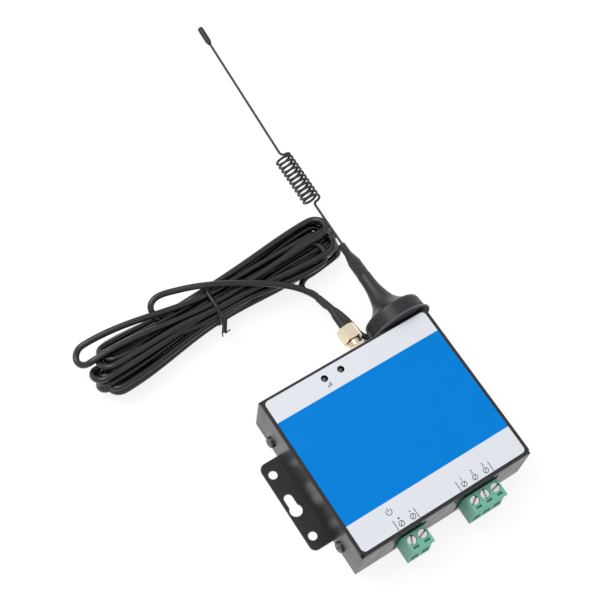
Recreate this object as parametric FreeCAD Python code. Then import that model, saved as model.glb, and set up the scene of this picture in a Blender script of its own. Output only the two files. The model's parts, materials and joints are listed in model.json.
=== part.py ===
import FreeCAD, Part
import math
import os

from FreeCAD import Vector

# A GSM module: a black sheet-metal case with two pluggable screw terminals in front, and a
# magnetic whip antenna at the back whose lead lies coiled behind the case.
# Millimetres. X runs along the terminal edge, Y points to the antenna, Z is up.
# The origin is the centre of the case's bottom.

# Case: a tray with the bottom and two side walls, and a cover with the top, front and rear.
CASE_WIDTH = 81.0
CASE_DEPTH = 74.0
CASE_HEIGHT = 25.0
SHEET = 1.0
SEAM = 0.25
FIT = 0.1
BEND_RADIUS = 1.3
CORNER_RELIEF = 1.2

# Mounting ears on both sides, each with two round holes and a keyhole.
EAR_REACH = 9.5
EAR_LENGTH = 41.3
EAR_CENTRE_Y = -0.4
EAR_CORNER = 2.8
EAR_HOLE_OUT = 6.0
EAR_HOLE_RADIUS = 1.9
EAR_HOLE_SPACING = 29.6
KEYHOLE_RADIUS = 2.7
KEYHOLE_Y = -2.9
KEYHOLE_LENGTH = 5.7

# Screws that hold the cover: two on each side, into lugs bent in from the cover's walls.
SIDE_SCREW_INSET = 11.5
SIDE_SCREW_Z = 5.4
SIDE_SCREW_RADIUS = 1.5
LUG_LENGTH = 14.0
LUG_HEIGHT = 9.0
SCREW_HEAD_RADIUS = 2.5
SCREW_HEAD_HEIGHT = 1.6
SCREW_HEAD_EDGE = 0.7
RECESS_LENGTH = 2.8
RECESS_WIDTH = 0.7
RECESS_DEPTH = 0.9

# Label on the top.
LABEL_MARGIN = 1.5
LABEL_THICKNESS = 0.2
LABEL_CORNER = 1.8

# Circuit board on four standoffs.
BOARD_SIDE_MARGIN = 4.5
BOARD_FRONT_MARGIN = 2.0
BOARD_REAR_MARGIN = 3.0
BOARD_THICKNESS = 1.6
STANDOFF_HEIGHT = 2.9
STANDOFF_ACROSS = 5.5
BOARD_SCREW_SIDE_INSET = 4.0
BOARD_SCREW_REAR_INSET = 5.0
BOARD_SCREW_RADIUS = 1.45

# Parts on the board.
RADIO_SIZE = (24.0, 24.0, 3.0)
RADIO_CORNER = (0.0, 0.0)
RADIO_BOARD = 0.8
SIM_SOCKET_SIZE = (18.0, 18.0, 2.6)
SIM_SOCKET_CORNER = (-30.8, -8.0)
SIM_CARD_SIZE = (15.0, 25.0, 0.8)
SIM_CARD_NOTCH = 2.5
RELAY_SIZE = (19.0, 15.5, 15.3)
RELAY_CORNER = (9.0, -22.0)
CAPACITOR_RADIUS = 5.0
CAPACITOR_HEIGHT = 12.5
CAPACITOR_X = -16.0
CAPACITOR_Y = -16.0

# Indicator lamps under two holes in the cover.
LED_INSET = 5.3
SIGNAL_LED_X = -12.6
RELAY_LED_X = -4.7
LED_RADIUS = 1.5
LED_FLANGE = 1.9
LED_FLANGE_HEIGHT = 1.0
LED_HEIGHT = 5.3
LED_SINK = 0.7
LED_LEG = 0.5
LED_LEG_SPACING = 1.27

# Screw terminals: a header on the board and a plug that carries the screws.
PITCH = 5.08
POWER_X = -16.4
POWER_POLES = 2
RELAY_X = 16.4
RELAY_POLES = 3
PLUG_PROUD = 8.3
PLUG_WALL_GAP = 0.5
PLUG_BOTTOM = 4.9
PLUG_HEIGHT = 15.0
PLUG_WAIST = 0.8
PLUG_FOOT = 0.2
PLUG_LIP_HEIGHT = 5.5
PLUG_FOOT_HEIGHT = 2.0
TONGUE_LENGTH = 7.5
TONGUE_BOTTOM = 7.1
TONGUE_HEIGHT = 9.8
HEADER_WALL = 1.0
HEADER_PROUD = 0.3
HEADER_DEPTH = 12.0
HEADER_BACK = 3.5
PLUG_CLEARANCE = 0.2
CUTOUT_MARGIN = 0.55
CUTOUT_HEIGHT = 17.0
CUTOUT_BOTTOM = 3.9
PIN_WIDTH = 1.0
PIN_Z = 11.0
PIN_TAIL = 1.6

# Inside a pole: a screw, a cage that it lifts and a fixed contact strip.
SCREW_INSET = 5.0
SCREW_THREAD_RADIUS = 1.45
THREAD_CLEARANCE = 0.06
CLAMP_SCREW_HEAD_RADIUS = 1.9
CLAMP_SCREW_HEAD_HEIGHT = 1.6
CLAMP_SCREW_SINK = 0.4
CLAMP_SLOT_WIDTH = 0.8
CLAMP_SLOT_DEPTH = 0.8
CAGE_WIDTH = 3.6
CAGE_DEPTH = 4.0
CAGE_WALL = 0.6
CAGE_ROOF = 2.0
CAGE_TRAVEL = 2.5
CAGE_CLEARANCE = 0.2
STRIP_THICKNESS = 0.8
STRIP_WIDTH = 2.0
STRIP_BOTTOM = 11.6
ENTRY_WIDTH = 3.7
ENTRY_HEIGHT = 3.9
SOCKET_WIDTH = 2.2
SOCKET_HEIGHT = 2.6
SOCKET_LENGTH = 6.0
KEY_SLOT = (2.6, 1.0, 1.4)
KEY_SLOT_INSET = 1.9

# Aerial connector in the rear wall.
SMA_X = 11.0
SMA_Z = 12.5
SMA_BARREL_RADIUS = 3.1
SMA_BARREL_LENGTH = 11.5
SMA_BLOCK = (8.0, 8.5, 11.5)
SMA_BORE_RADIUS = 2.35
SMA_BORE_DEPTH = 2.0
SMA_CLEARANCE = 0.08
WASHER_RADIUS = 4.4
WASHER_THICKNESS = 0.9
NUT_ACROSS = 8.0
LOCK_NUT_THICKNESS = 2.6
COUPLING_START = 6.3
COUPLING_LENGTH = 6.5
COUPLING_WALL = 1.5
PLUG_BODY_RADIUS = 2.5
FERRULE_RADIUS = 1.45
FERRULE_LENGTH = 4.0
CENTRE_PIN_RADIUS = 0.45
SLEEVE_RADIUS = 1.9
SLEEVE_END_RADIUS = 1.6
SLEEVE_STRAIGHT = 6.5
SLEEVE_TAPER = 2.0
SLEEVE_REACH = 23.5

# Antenna: a magnetic base on the rear wall, a bell, a neck sleeve and a whip with a coil.
# Its starts and ends are measured from the face that sits on the wall.
ANTENNA_X = 30.65
ANTENNA_Z = 15.0
WALL_GAP = 0.1
PAD_RADIUS = 13.9
PAD_THICKNESS = 0.3
SKIRT_RADIUS = 14.6
SKIRT_THICKNESS = 1.1
MAGNET_RADIUS = 11.4
MAGNET_THICKNESS = 5.0
RIM_RADIUS = 13.35
RIM_HEIGHT = 5.7
RIM_DRAFT = 0.3
BELL_FLARE_RADIUS = 7.75
BELL_FLARE_AT = 9.2
BELL_NECK_RADIUS = 5.2
BELL_NECK_AT = 12.5
BELL_TAPER_RADIUS = 3.75
BELL_TAPER_AT = 17.6
BELL_TOP_RADIUS = 3.0
BELL_LENGTH = 26.5
SOCKET_RADIUS = 1.5
SOCKET_START = 21.9
SOCKET_END = 38.9
NECK_RADIUS = 2.8
NECK_START = 28.0
NECK_WIDE_END = 35.5
NECK_TAPER_END = 40.4
NECK_END = 45.4
NECK_TIP_RADIUS = 1.65
WHIP_RADIUS = 0.55
WHIP_START = 25.9
WHIP_LEAN = 1.4
UPPER_LEAN = 3.3
COIL_START = 70.1
COIL_RADIUS = 3.65
COIL_PITCH = 2.25
COIL_TURNS = 11
COIL_LEAD = 3.2
CAP_RADIUS = 1.35
CAP_START = 163.2
CAP_LENGTH = 10.0
CAP_TAPER = 1.8
WHIP_END_IN_CAP = 6.0

# The antenna's lead, its hank and the tie round it.
CABLE_RADIUS = 1.4
CABLE_MIN_GAP = 0.4
BOOT_RADIUS = 2.0
BOOT_LENGTH = 2.5
BOOT_DROP = 8.0
BOOT_ASIDE = 10.2
BOOT_OUT = 4.5
ARC_SHARE = 0.45
HANK_CENTRE = Vector(-26.8, 91.3, 2.3)
RIGHT_TILT = 1.3
LEFT_TILT = 2.6
HANK_REACH = 61.8
HANK_RINGS = 2.5
HANK_LAYER = 3.35
HANK_FIRST = 1.25
HANK_LAST = 8.5
WAIST_CORE = 0.9
WAIST_STEP = 3.3
RIGHT_CORE = 2.8
RIGHT_STEP = 5.0
RIGHT_LENGTHENING = 0.14
RIGHT_SKEW = 0.1
LEFT_CORE = 2.8
LEFT_STEP = 3.5
LEFT_LENGTHENING = -0.2
LEFT_SKEW = 0.22
END_STEP = 3.4
LAYER_SWING = (0.0, 1.0, -1.2, 0.4)
STRAY_TURN = 4
STRAY_SHIFT = 3.2
LEAD_IN = Vector(12.4, 74.8, 2.3)
LEAD_TURN = Vector(17.4, 79.9, 2.3)
FIRST_RUN = 3.6
LAST_RUN = 6.0
LEAD_RUN = 5.0
TIE_WIDTH = 1.8
TIE_THICKNESS = 0.6
TIE_CLEARANCE = 0.45
TIE_X = -27.5
TIE_BEND = 2.2
TIE_ENDS = (
    (Vector(-1.6, -1.5, 0.8), Vector(-3.8, -1.9, -0.8), Vector(-4.2, -1.8, -4.0)),
    (Vector(-0.6, -1.8, -0.6), Vector(-1.9, -2.4, -2.8), Vector(-1.6, -2.2, -5.6)),
)

# Routes of the free cable, chosen by eye: from the plug's sleeve over the hank to its last
# loop, and from the antenna's boot to its first loop.
PLUG_LEAD = [
    Vector(2.4, 76.0, 15.1),
    Vector(-4.6, 81.5, 15.8),
    Vector(-11.8, 86.0, 16.1),
    Vector(-20.0, 90.7, 16.5),
    Vector(-28.0, 94.6, 16.6),
    Vector(-35.0, 97.9, 15.8),
    Vector(-42.0, 100.5, 13.6),
    Vector(-47.4, 101.7, 12.9),
    Vector(-50.7, 101.6, 12.7),
    Vector(-52.9, 100.7, 12.5),
    Vector(-53.8, 98.5, 12.4),
    Vector(-52.9, 96.3, 12.35),
    Vector(-50.7, 95.4, 12.35),
    Vector(-46.6, 95.4, 12.35),
]
ANTENNA_LEAD = [
    Vector(16.7, 45.2, 7.0),
    Vector(16.7, 50.2, 6.2),
    Vector(16.4, 56.6, 4.4),
    Vector(15.2, 62.6, 2.9),
]

REAR = CASE_DEPTH / 2
FRONT = -REAR
HALF_WIDTH = CASE_WIDTH / 2
SIDE_SCREW_Y = REAR - SIDE_SCREW_INSET
LABEL_WIDTH = CASE_WIDTH - 2 * LABEL_MARGIN
LABEL_DEPTH = CASE_DEPTH - 2 * LABEL_MARGIN
BOARD_WIDTH = CASE_WIDTH - 2 * BOARD_SIDE_MARGIN
BOARD_FRONT = FRONT + BOARD_FRONT_MARGIN
BOARD_REAR = REAR - BOARD_REAR_MARGIN
BOARD_SCREW_X = BOARD_WIDTH / 2 - BOARD_SCREW_SIDE_INSET
BOARD_SCREW_Y = BOARD_REAR - BOARD_SCREW_REAR_INSET
LED_Y = REAR - LED_INSET
PLUG_FRONT = FRONT - PLUG_PROUD
PLUG_SHOULDER = FRONT - PLUG_WALL_GAP
HEADER_MOUTH = FRONT - HEADER_PROUD
SCREW_AXIS_Y = PLUG_FRONT + SCREW_INSET
KEY_SLOT_Y = PLUG_FRONT + KEY_SLOT_INSET
BOARD_BOTTOM = SHEET + STANDOFF_HEIGHT
BOARD_TOP = BOARD_BOTTOM + BOARD_THICKNESS
PLUG_TOP = PLUG_BOTTOM + PLUG_HEIGHT
TERMINALS = (("power", POWER_X, POWER_POLES), ("relay", RELAY_X, RELAY_POLES))
SLEEVE_BEND = Vector(SMA_X, REAR + SLEEVE_REACH, SMA_Z)
SLEEVE_END = SLEEVE_BEND + Vector(-2.2, 6.6, 0.6)
BOOT_START = Vector(ANTENNA_X - BOOT_ASIDE, REAR + BOOT_OUT, ANTENNA_Z - BOOT_DROP)
BOOT_END = BOOT_START + Vector(-1, 1, 0).normalize() * BOOT_LENGTH


def box(low_x, high_x, low_y, high_y, low_z, high_z):
    """A box between two corners."""
    size = Vector(high_x - low_x, high_y - low_y, high_z - low_z)
    return Part.makeBox(size.x, size.y, size.z, Vector(low_x, low_y, low_z))


def rod(radius, start, end):
    """A cylinder from one point to another."""
    return Part.makeCylinder(radius, (end - start).Length, start, end - start)


def upright(radius, x, y, low_z, high_z):
    """A cylinder along Z."""
    return rod(radius, Vector(x, y, low_z), Vector(x, y, high_z))


def along_y(radius, x, z, low_y, high_y):
    """A cylinder along Y."""
    return rod(radius, Vector(x, low_y, z), Vector(x, high_y, z))


def fused(shapes):
    """One solid from shapes that touch or overlap."""
    return shapes[0].multiFuse(shapes[1:]).removeSplitter()


def mirrored_x(shape):
    """The shape and its mirror image across the YZ plane."""
    return [shape, shape.mirror(Vector(0, 0, 0), Vector(1, 0, 0))]


def unit(vector):
    """The vector's direction, as a new vector."""
    return vector * (1.0 / vector.Length)


def arc_or_line(start, corner, end):
    """The edge from start to end that is tangent to both legs of a corner."""
    middle = (start + end) * 0.5
    leg = (corner - start).Length
    sine = (corner - middle).Length / leg
    if sine < 1e-4:
        return Part.LineSegment(start, end).toShape()
    cosine = math.sqrt(1 - sine * sine)
    crown = corner + (middle - corner) * (1 / (1 + cosine))
    return Part.Arc(start, crown, end).toShape()


def rounded_face(corners):
    """A flat face whose corners, each a point and a radius, are rounded."""
    edges = []
    joints = []
    for index, (corner, radius) in enumerate(corners):
        back = unit(corners[index - 1][0] - corner)
        ahead = unit(corners[(index + 1) % len(corners)][0] - corner)
        cut = radius / math.tan(back.getAngle(ahead) / 2)
        joints.append((corner + back * cut, corner, corner + ahead * cut, radius))
    for index, (first, corner, last, radius) in enumerate(joints):
        if radius:
            edges.append(arc_or_line(first, corner, last))
        following = joints[(index + 1) % len(joints)][0]
        if (following - last).Length > 1e-6:
            edges.append(Part.LineSegment(last, following).toShape())
    return Part.Face(Part.Wire(edges))


def plan_plate(corners, low_z, thickness):
    """A plate from corners given as x, y and radius."""
    points = [(Vector(x, y, low_z), radius) for x, y, radius in corners]
    return rounded_face(points).extrude(Vector(0, 0, thickness))


def side_profile(corners, low_x, width):
    """A bar along X from corners given as y, z and radius."""
    points = [(Vector(low_x, y, z), radius) for y, z, radius in corners]
    return rounded_face(points).extrude(Vector(width, 0, 0))


def turned(edges, x, z):
    """A solid turned about an axis along Y, from edges in the plane of Z = 0 at X = 0."""
    solid = Part.Face(Part.Wire(edges)).revolve(Vector(0, 0, 0), Vector(0, 1, 0), 360)
    solid.translate(Vector(x, 0, z))
    return solid


def lines(points):
    """Straight edges through points given as radius and y."""
    spots = [Vector(radius, y, 0) for radius, y in points]
    return [Part.LineSegment(a, b).toShape() for a, b in zip(spots, spots[1:])]


def hexagon(across, x, z, low_y, high_y):
    """A hexagonal bar along Y with a flat on top."""
    corner = across / math.sqrt(3)
    spots = []
    for step in range(7):
        angle = math.radians(60 * step)
        spots.append(Vector(x + corner * math.cos(angle), low_y, z + corner * math.sin(angle)))
    return Part.Face(Part.makePolygon(spots)).extrude(Vector(0, high_y - low_y, 0))


def tube(edges, radius):
    """A round tube along joined edges, with its length."""
    path = Part.Wire(edges)
    first = path.Edges[0]
    start = first.valueAt(first.FirstParameter)
    heading = first.tangentAt(first.FirstParameter)
    if (start - path.Vertexes[0].Point).Length > 1e-6:
        start = first.valueAt(first.LastParameter)
        heading = first.tangentAt(first.LastParameter)
    ring = Part.Wire([Part.makeCircle(radius, start, heading)])
    return path.makePipeShell([ring], True, False)


def cord_edges(points):
    """Straight runs joined by arcs as large as the runs allow, with the arcs' radii."""
    edges = []
    radii = []
    last = points[0]
    for before, corner, after in zip(points, points[1:], points[2:]):
        back = before - corner
        ahead = after - corner
        reach = ARC_SHARE * min(back.Length, ahead.Length)
        turn = math.pi - back.getAngle(ahead)
        radii.append(reach / math.tan(turn / 2))
        arc_start = corner + unit(back) * reach
        arc_end = corner + unit(ahead) * reach
        edges.append(Part.LineSegment(last, arc_start).toShape())
        edges.append(arc_or_line(arc_start, corner, arc_end))
        last = arc_end
    edges.append(Part.LineSegment(last, points[-1]).toShape())
    return edges, radii


def cord(name, points, radius):
    """A tube along a cord's route; prints its length, its radii and how its volume fits."""
    edges, radii = cord_edges(points)
    solid = tube(edges, radius)
    length = sum(edge.Length for edge in edges)
    share = solid.Volume / (math.pi * radius ** 2 * length)
    print(name, "length", round(length, 1), "volume share", round(share, 4))
    print(name, "radii", [round(value, 1) for value in radii])
    return solid


def biarc(start, start_heading, end, end_heading):
    """Two arcs that leave start and reach end along the given directions."""
    span = end - start
    across = start_heading + end_heading
    bend = 2 * (1 - start_heading.dot(end_heading))
    pull = span.dot(across)
    if bend < 1e-6:
        leg = span.dot(span) / (4 * span.dot(start_heading))
    else:
        leg = (math.sqrt(pull * pull + bend * span.dot(span)) - pull) / bend
    first_corner = start + start_heading * leg
    second_corner = end - end_heading * leg
    middle = (first_corner + second_corner) * 0.5
    return [arc_or_line(start, first_corner, middle), arc_or_line(middle, second_corner, end)]


def sampled(edges, spacing):
    """Points along the edges, each with its distance from the start."""
    spots = []
    travelled = 0.0
    for edge in edges:
        count = max(2, int(edge.Length / spacing))
        points = edge.discretize(count + 1)
        for index, point in enumerate(points[:-1]):
            spots.append((travelled + edge.Length * index / count, point))
        travelled += edge.Length
    return spots


def least_gap(edges, radius, spacing):
    """The least gap between stretches of one tube that are not neighbours along it."""
    spots = sampled(edges, spacing)
    least = 1e9
    for index, (place, point) in enumerate(spots):
        for other_place, other in spots[index + 1:]:
            if other_place - place > math.pi * radius * 2 + 2 * spacing:
                least = min(least, point.distanceToPoint(other))
    return least - 2 * radius


def recessed_screw(seat, heading, radius, length):
    """A round-headed screw with a cross recess, its head standing off the seat."""
    edge = SCREW_HEAD_EDGE
    rim = seat + heading * (SCREW_HEAD_HEIGHT - edge)
    head = rod(SCREW_HEAD_RADIUS, seat, rim)
    crown = Part.makeCone(SCREW_HEAD_RADIUS, SCREW_HEAD_RADIUS - edge, edge, rim, heading)
    shank = rod(radius, seat - heading * length, seat + heading * edge)
    top = seat + heading * SCREW_HEAD_HEIGHT
    bars = []
    for width, depth in ((RECESS_LENGTH, RECESS_WIDTH), (RECESS_WIDTH, RECESS_LENGTH)):
        corner = Vector(-width / 2, -depth / 2, -RECESS_DEPTH)
        bars.append(Part.makeBox(width, depth, 2 * RECESS_DEPTH, corner))
    cross = bars[0].fuse(bars[1])
    cross.Placement = FreeCAD.Placement(top, FreeCAD.Rotation(Vector(0, 0, 1), heading))
    return fused([head, crown, shank]).cut(cross)


def ear():
    """The right-hand ear, with its two round holes and its keyhole."""
    inner = HALF_WIDTH - SHEET
    outer = HALF_WIDTH + EAR_REACH
    front = EAR_CENTRE_Y - EAR_LENGTH / 2
    rear = EAR_CENTRE_Y + EAR_LENGTH / 2
    corners = [
        (inner, front, 0), (outer, front, EAR_CORNER), (outer, rear, EAR_CORNER), (inner, rear, 0),
    ]
    plate = plan_plate(corners, 0, SHEET)
    hole_x = HALF_WIDTH + EAR_HOLE_OUT
    holes = []
    for side in (-1, 1):
        hole_y = EAR_CENTRE_Y + side * EAR_HOLE_SPACING / 2
        holes.append(upright(EAR_HOLE_RADIUS, hole_x, hole_y, -SHEET, 2 * SHEET))
    holes.append(upright(KEYHOLE_RADIUS, hole_x, KEYHOLE_Y, -SHEET, 2 * SHEET))
    slot_end = KEYHOLE_Y + KEYHOLE_LENGTH
    holes.append(upright(EAR_HOLE_RADIUS, hole_x, slot_end, -SHEET, 2 * SHEET))
    low_x = hole_x - EAR_HOLE_RADIUS
    holes.append(box(low_x, hole_x + EAR_HOLE_RADIUS, KEYHOLE_Y, slot_end, -SHEET, 2 * SHEET))
    return plate.cut(holes)


def side_hole(radius, side_y):
    """A hole through the right-hand wall at a cover screw."""
    low = Vector(HALF_WIDTH - 3 * SHEET, side_y, SIDE_SCREW_Z)
    return rod(radius, low, low + Vector(4 * SHEET, 0, 0))


def base_tray():
    """The bottom, both side walls and the ears, bent from one sheet."""
    bottom = box(-HALF_WIDTH, HALF_WIDTH, -REAR, REAR, 0, SHEET)
    top = CASE_HEIGHT - SHEET - SEAM
    wall = box(HALF_WIDTH - SHEET, HALF_WIDTH, -REAR, REAR, 0, top)
    clear = SIDE_SCREW_RADIUS + FIT
    wall = wall.cut([side_hole(clear, -SIDE_SCREW_Y), side_hole(clear, SIDE_SCREW_Y)])
    tray = fused([bottom] + mirrored_x(wall) + mirrored_x(ear()))
    holes = []
    for x, y in board_screw_places():
        holes.append(upright(BOARD_SCREW_RADIUS + THREAD_CLEARANCE, x, y, -SHEET, 2 * SHEET))
    return tray.cut(holes)


def board_screw_places():
    """The four corners where the board is screwed down."""
    return [(x, y) for x in (-BOARD_SCREW_X, BOARD_SCREW_X) for y in (-BOARD_SCREW_Y, BOARD_SCREW_Y)]


def lug():
    """The lug at the cover's rear right corner, along the inside of the side wall."""
    high_x = HALF_WIDTH - SHEET - FIT
    low_x = high_x - SHEET
    low_z = SHEET + SEAM
    plate = box(low_x, high_x, REAR - LUG_LENGTH, REAR - SHEET / 2, low_z, low_z + LUG_HEIGHT)
    return plate.cut(side_hole(SIDE_SCREW_RADIUS + THREAD_CLEARANCE, SIDE_SCREW_Y))


def top_cover():
    """The top with the front and rear walls bent down from it, and four lugs."""
    inner = REAR - SHEET
    low_z = SHEET + FIT
    under = CASE_HEIGHT - SHEET
    outline = [
        (-REAR, low_z, 0), (-REAR, CASE_HEIGHT, BEND_RADIUS),
        (REAR, CASE_HEIGHT, BEND_RADIUS), (REAR, low_z, 0),
        (inner, low_z, 0), (inner, under, BEND_RADIUS - SHEET),
        (-inner, under, BEND_RADIUS - SHEET), (-inner, low_z, 0),
    ]
    between_walls = HALF_WIDTH - SHEET - FIT
    shell = side_profile(outline, -between_walls, 2 * between_walls)
    rim_y = REAR - CORNER_RELIEF
    top = box(-HALF_WIDTH, HALF_WIDTH, -rim_y, rim_y, under, CASE_HEIGHT)
    rear_lugs = mirrored_x(lug())
    lugs = rear_lugs + [each.mirror(Vector(0, 0, 0), Vector(0, 1, 0)) for each in rear_lugs]
    cover = fused([shell, top] + lugs)
    cuts = [along_y(SMA_BARREL_RADIUS + FIT, SMA_X, SMA_Z, REAR - 2 * SHEET, REAR + SHEET)]
    for x in (SIGNAL_LED_X, RELAY_LED_X):
        cuts.append(upright(LED_RADIUS + FIT, x, LED_Y, under - SHEET, CASE_HEIGHT + SHEET))
    for name, x, poles in TERMINALS:
        half = header_half(poles) + CUTOUT_MARGIN
        high_z = CUTOUT_BOTTOM + CUTOUT_HEIGHT
        cuts.append(box(x - half, x + half, -REAR - SHEET, -REAR + 2 * SHEET, CUTOUT_BOTTOM, high_z))
    return cover.cut(cuts)


def label_sheet():
    """The printed sheet glued on the cover."""
    x = LABEL_WIDTH / 2
    y = LABEL_DEPTH / 2
    corners = [(sx * x, sy * y, LABEL_CORNER) for sx, sy in ((-1, -1), (1, -1), (1, 1), (-1, 1))]
    sheet = plan_plate(corners, CASE_HEIGHT, LABEL_THICKNESS)
    holes = []
    for led_x in (SIGNAL_LED_X, RELAY_LED_X):
        holes.append(upright(LED_RADIUS, led_x, LED_Y, CASE_HEIGHT - SHEET, CASE_HEIGHT + SHEET))
    return sheet.cut(holes)


def side_screws():
    """Four screws from the sides into the cover's lugs."""
    screws = []
    length = 3 * SHEET + FIT
    for y in (-SIDE_SCREW_Y, SIDE_SCREW_Y):
        seat = Vector(HALF_WIDTH, y, SIDE_SCREW_Z)
        screws.append(recessed_screw(seat, Vector(1, 0, 0), SIDE_SCREW_RADIUS, length))
    return [each for screw in screws for each in mirrored_x(screw)]


def circuit_board():
    """The board with its screw and pin holes."""
    half = BOARD_WIDTH / 2
    board = box(-half, half, BOARD_FRONT, BOARD_REAR, BOARD_BOTTOM, BOARD_TOP)
    holes = []
    for x, y in board_screw_places():
        holes.append(upright(BOARD_SCREW_RADIUS + FIT, x, y, BOARD_BOTTOM - 1, BOARD_TOP + 1))
    for name, x, poles in TERMINALS:
        for pole_x in pole_places(x, poles):
            radius = PIN_WIDTH * 0.75
            holes.append(upright(radius, pole_x, pin_tail_y(), BOARD_BOTTOM - 1, BOARD_TOP + 1))
    return board.cut(holes)


def board_standoffs():
    """Four hexagonal standoffs pressed into the bottom."""
    posts = []
    for x, y in board_screw_places():
        corner = STANDOFF_ACROSS / math.sqrt(3)
        spots = []
        for step in range(7):
            angle = math.radians(60 * step)
            spots.append(Vector(x + corner * math.cos(angle), y + corner * math.sin(angle), SHEET))
        post = Part.Face(Part.makePolygon(spots)).extrude(Vector(0, 0, STANDOFF_HEIGHT))
        bore = BOARD_SCREW_RADIUS + THREAD_CLEARANCE
        posts.append(post.cut(upright(bore, x, y, 0, BOARD_TOP)))
    return posts


def board_screws():
    """Four screws through the board into the standoffs."""
    length = BOARD_THICKNESS + STANDOFF_HEIGHT
    seats = [Vector(x, y, BOARD_TOP) for x, y in board_screw_places()]
    return [recessed_screw(seat, Vector(0, 0, 1), BOARD_SCREW_RADIUS, length) for seat in seats]


def radio_module():
    """The radio: a small board under a metal can."""
    width, depth, height = RADIO_SIZE
    x, y = RADIO_CORNER
    board = box(x, x + width, y, y + depth, BOARD_TOP, BOARD_TOP + RADIO_BOARD)
    edge = RADIO_BOARD
    low_z = BOARD_TOP + RADIO_BOARD
    can = box(x + edge, x + width - edge, y + edge, y + depth - edge, low_z, BOARD_TOP + height)
    upright_edges = [e for e in can.Edges if abs(e.tangentAt(e.FirstParameter).z) > 0.9]
    return board.fuse(can.makeFillet(edge, upright_edges))


def sim_socket():
    """The card holder: a metal shell open at its rear end."""
    width, depth, height = SIM_SOCKET_SIZE
    x, y = SIM_SOCKET_CORNER
    shell = box(x, x + width, y, y + depth, BOARD_TOP, BOARD_TOP + height)
    card_width, card_length, thickness = SIM_CARD_SIZE
    inset = (width - card_width) / 2
    low_z = BOARD_TOP + (height - thickness) / 2
    high_z = low_z + thickness + FIT
    low_x = x + inset - FIT
    slot = box(low_x, x + width - inset + FIT, y + inset, y + depth + 1, low_z - FIT, high_z)
    rear_y = y + depth * 0.8
    window = box(x + 2 * inset, x + width - 2 * inset, y + depth / 3, rear_y, low_z, high_z + height)
    return shell.cut([slot, window])


def sim_card():
    """The card, with its cut corner."""
    width, length, thickness = SIM_CARD_SIZE
    x = SIM_SOCKET_CORNER[0] + (SIM_SOCKET_SIZE[0] - width) / 2
    y = SIM_SOCKET_CORNER[1] + (SIM_SOCKET_SIZE[0] - width) / 2 + FIT
    low_z = BOARD_TOP + (SIM_SOCKET_SIZE[2] - thickness) / 2
    notch = SIM_CARD_NOTCH
    rear_y = y + length
    corners = [
        (x + notch, y, 0), (x + width, y, 0), (x + width, rear_y, 0), (x, rear_y, 0), (x, y + notch, 0),
    ]
    return plan_plate(corners, low_z, thickness)


def relay_case():
    """The relay's moulded case."""
    width, depth, height = RELAY_SIZE
    x, y = RELAY_CORNER
    case = box(x, x + width, y, y + depth, BOARD_TOP, BOARD_TOP + height)
    top_edges = [e for e in case.Edges if e.BoundBox.ZMin > BOARD_TOP + height / 2]
    return case.makeChamfer(0.6, top_edges)


def buffer_capacitor():
    """The can of the capacitor, with its crimp groove."""
    groove = 0.4
    crimp_z = BOARD_TOP + 2.0
    can = upright(CAPACITOR_RADIUS, CAPACITOR_X, CAPACITOR_Y, BOARD_TOP, BOARD_TOP + CAPACITOR_HEIGHT)
    outer = upright(CAPACITOR_RADIUS + 1, CAPACITOR_X, CAPACITOR_Y, crimp_z, crimp_z + 2 * groove)
    inner = upright(CAPACITOR_RADIUS - groove, CAPACITOR_X, CAPACITOR_Y, crimp_z - 1, crimp_z + 2)
    return can.cut(outer.cut(inner))


def led(x):
    """A lamp: domed body, flange and two legs, in one piece."""
    top = CASE_HEIGHT - LED_SINK
    flange_z = top - LED_HEIGHT
    body = upright(LED_RADIUS, x, LED_Y, flange_z, top - LED_RADIUS)
    dome = Part.makeSphere(LED_RADIUS, Vector(x, LED_Y, top - LED_RADIUS))
    flange = upright(LED_FLANGE, x, LED_Y, flange_z, flange_z + LED_FLANGE_HEIGHT)
    pieces = [flange, body, dome]
    for side in (-1, 1):
        leg_x = x + side * LED_LEG_SPACING - LED_LEG / 2
        low_y = LED_Y - LED_LEG / 2
        pieces.append(box(leg_x, leg_x + LED_LEG, low_y, low_y + LED_LEG, BOARD_TOP, flange_z + FIT))
    return fused(pieces)


def led_spacers():
    """Two tubes that hold the lamps at the height of the cover."""
    spacers = []
    high_z = CASE_HEIGHT - LED_SINK - LED_HEIGHT
    for x in (SIGNAL_LED_X, RELAY_LED_X):
        post = upright(LED_FLANGE, x, LED_Y, BOARD_TOP, high_z)
        bores = []
        for side in (-1, 1):
            bores.append(upright(LED_LEG, x + side * LED_LEG_SPACING, LED_Y, BOARD_TOP - 1, high_z + 1))
        spacers.append(post.cut(bores))
    return spacers


def pole_places(x, poles):
    """The X of each pole of a terminal."""
    first = x - (poles - 1) * PITCH / 2
    return [first + index * PITCH for index in range(poles)]


def header_half(poles):
    """Half the width of a header."""
    return poles * PITCH / 2 + PLUG_CLEARANCE + HEADER_WALL


def pin_tail_y():
    """The Y where a header's pins go down through the board."""
    return HEADER_MOUTH + HEADER_DEPTH + PIN_WIDTH


def header(x, poles):
    """The header: a box open to the front, with the pins' holes in its back."""
    half = header_half(poles)
    back = HEADER_MOUTH + HEADER_DEPTH
    low = TONGUE_BOTTOM - PLUG_CLEARANCE
    high = TONGUE_BOTTOM + TONGUE_HEIGHT + PLUG_CLEARANCE
    shell = box(x - half, x + half, HEADER_MOUTH, back, BOARD_TOP, high + HEADER_WALL)
    inner = half - HEADER_WALL
    cuts = [box(x - inner, x + inner, HEADER_MOUTH - 1, back - HEADER_BACK, low, high)]
    for pole_x in pole_places(x, poles):
        hole = PIN_WIDTH / 2 + THREAD_CLEARANCE
        low_x = pole_x - hole
        cuts.append(box(low_x, pole_x + hole, HEADER_MOUTH, back + 1, PIN_Z - hole, PIN_Z + hole))
    return shell.cut(cuts)


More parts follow.
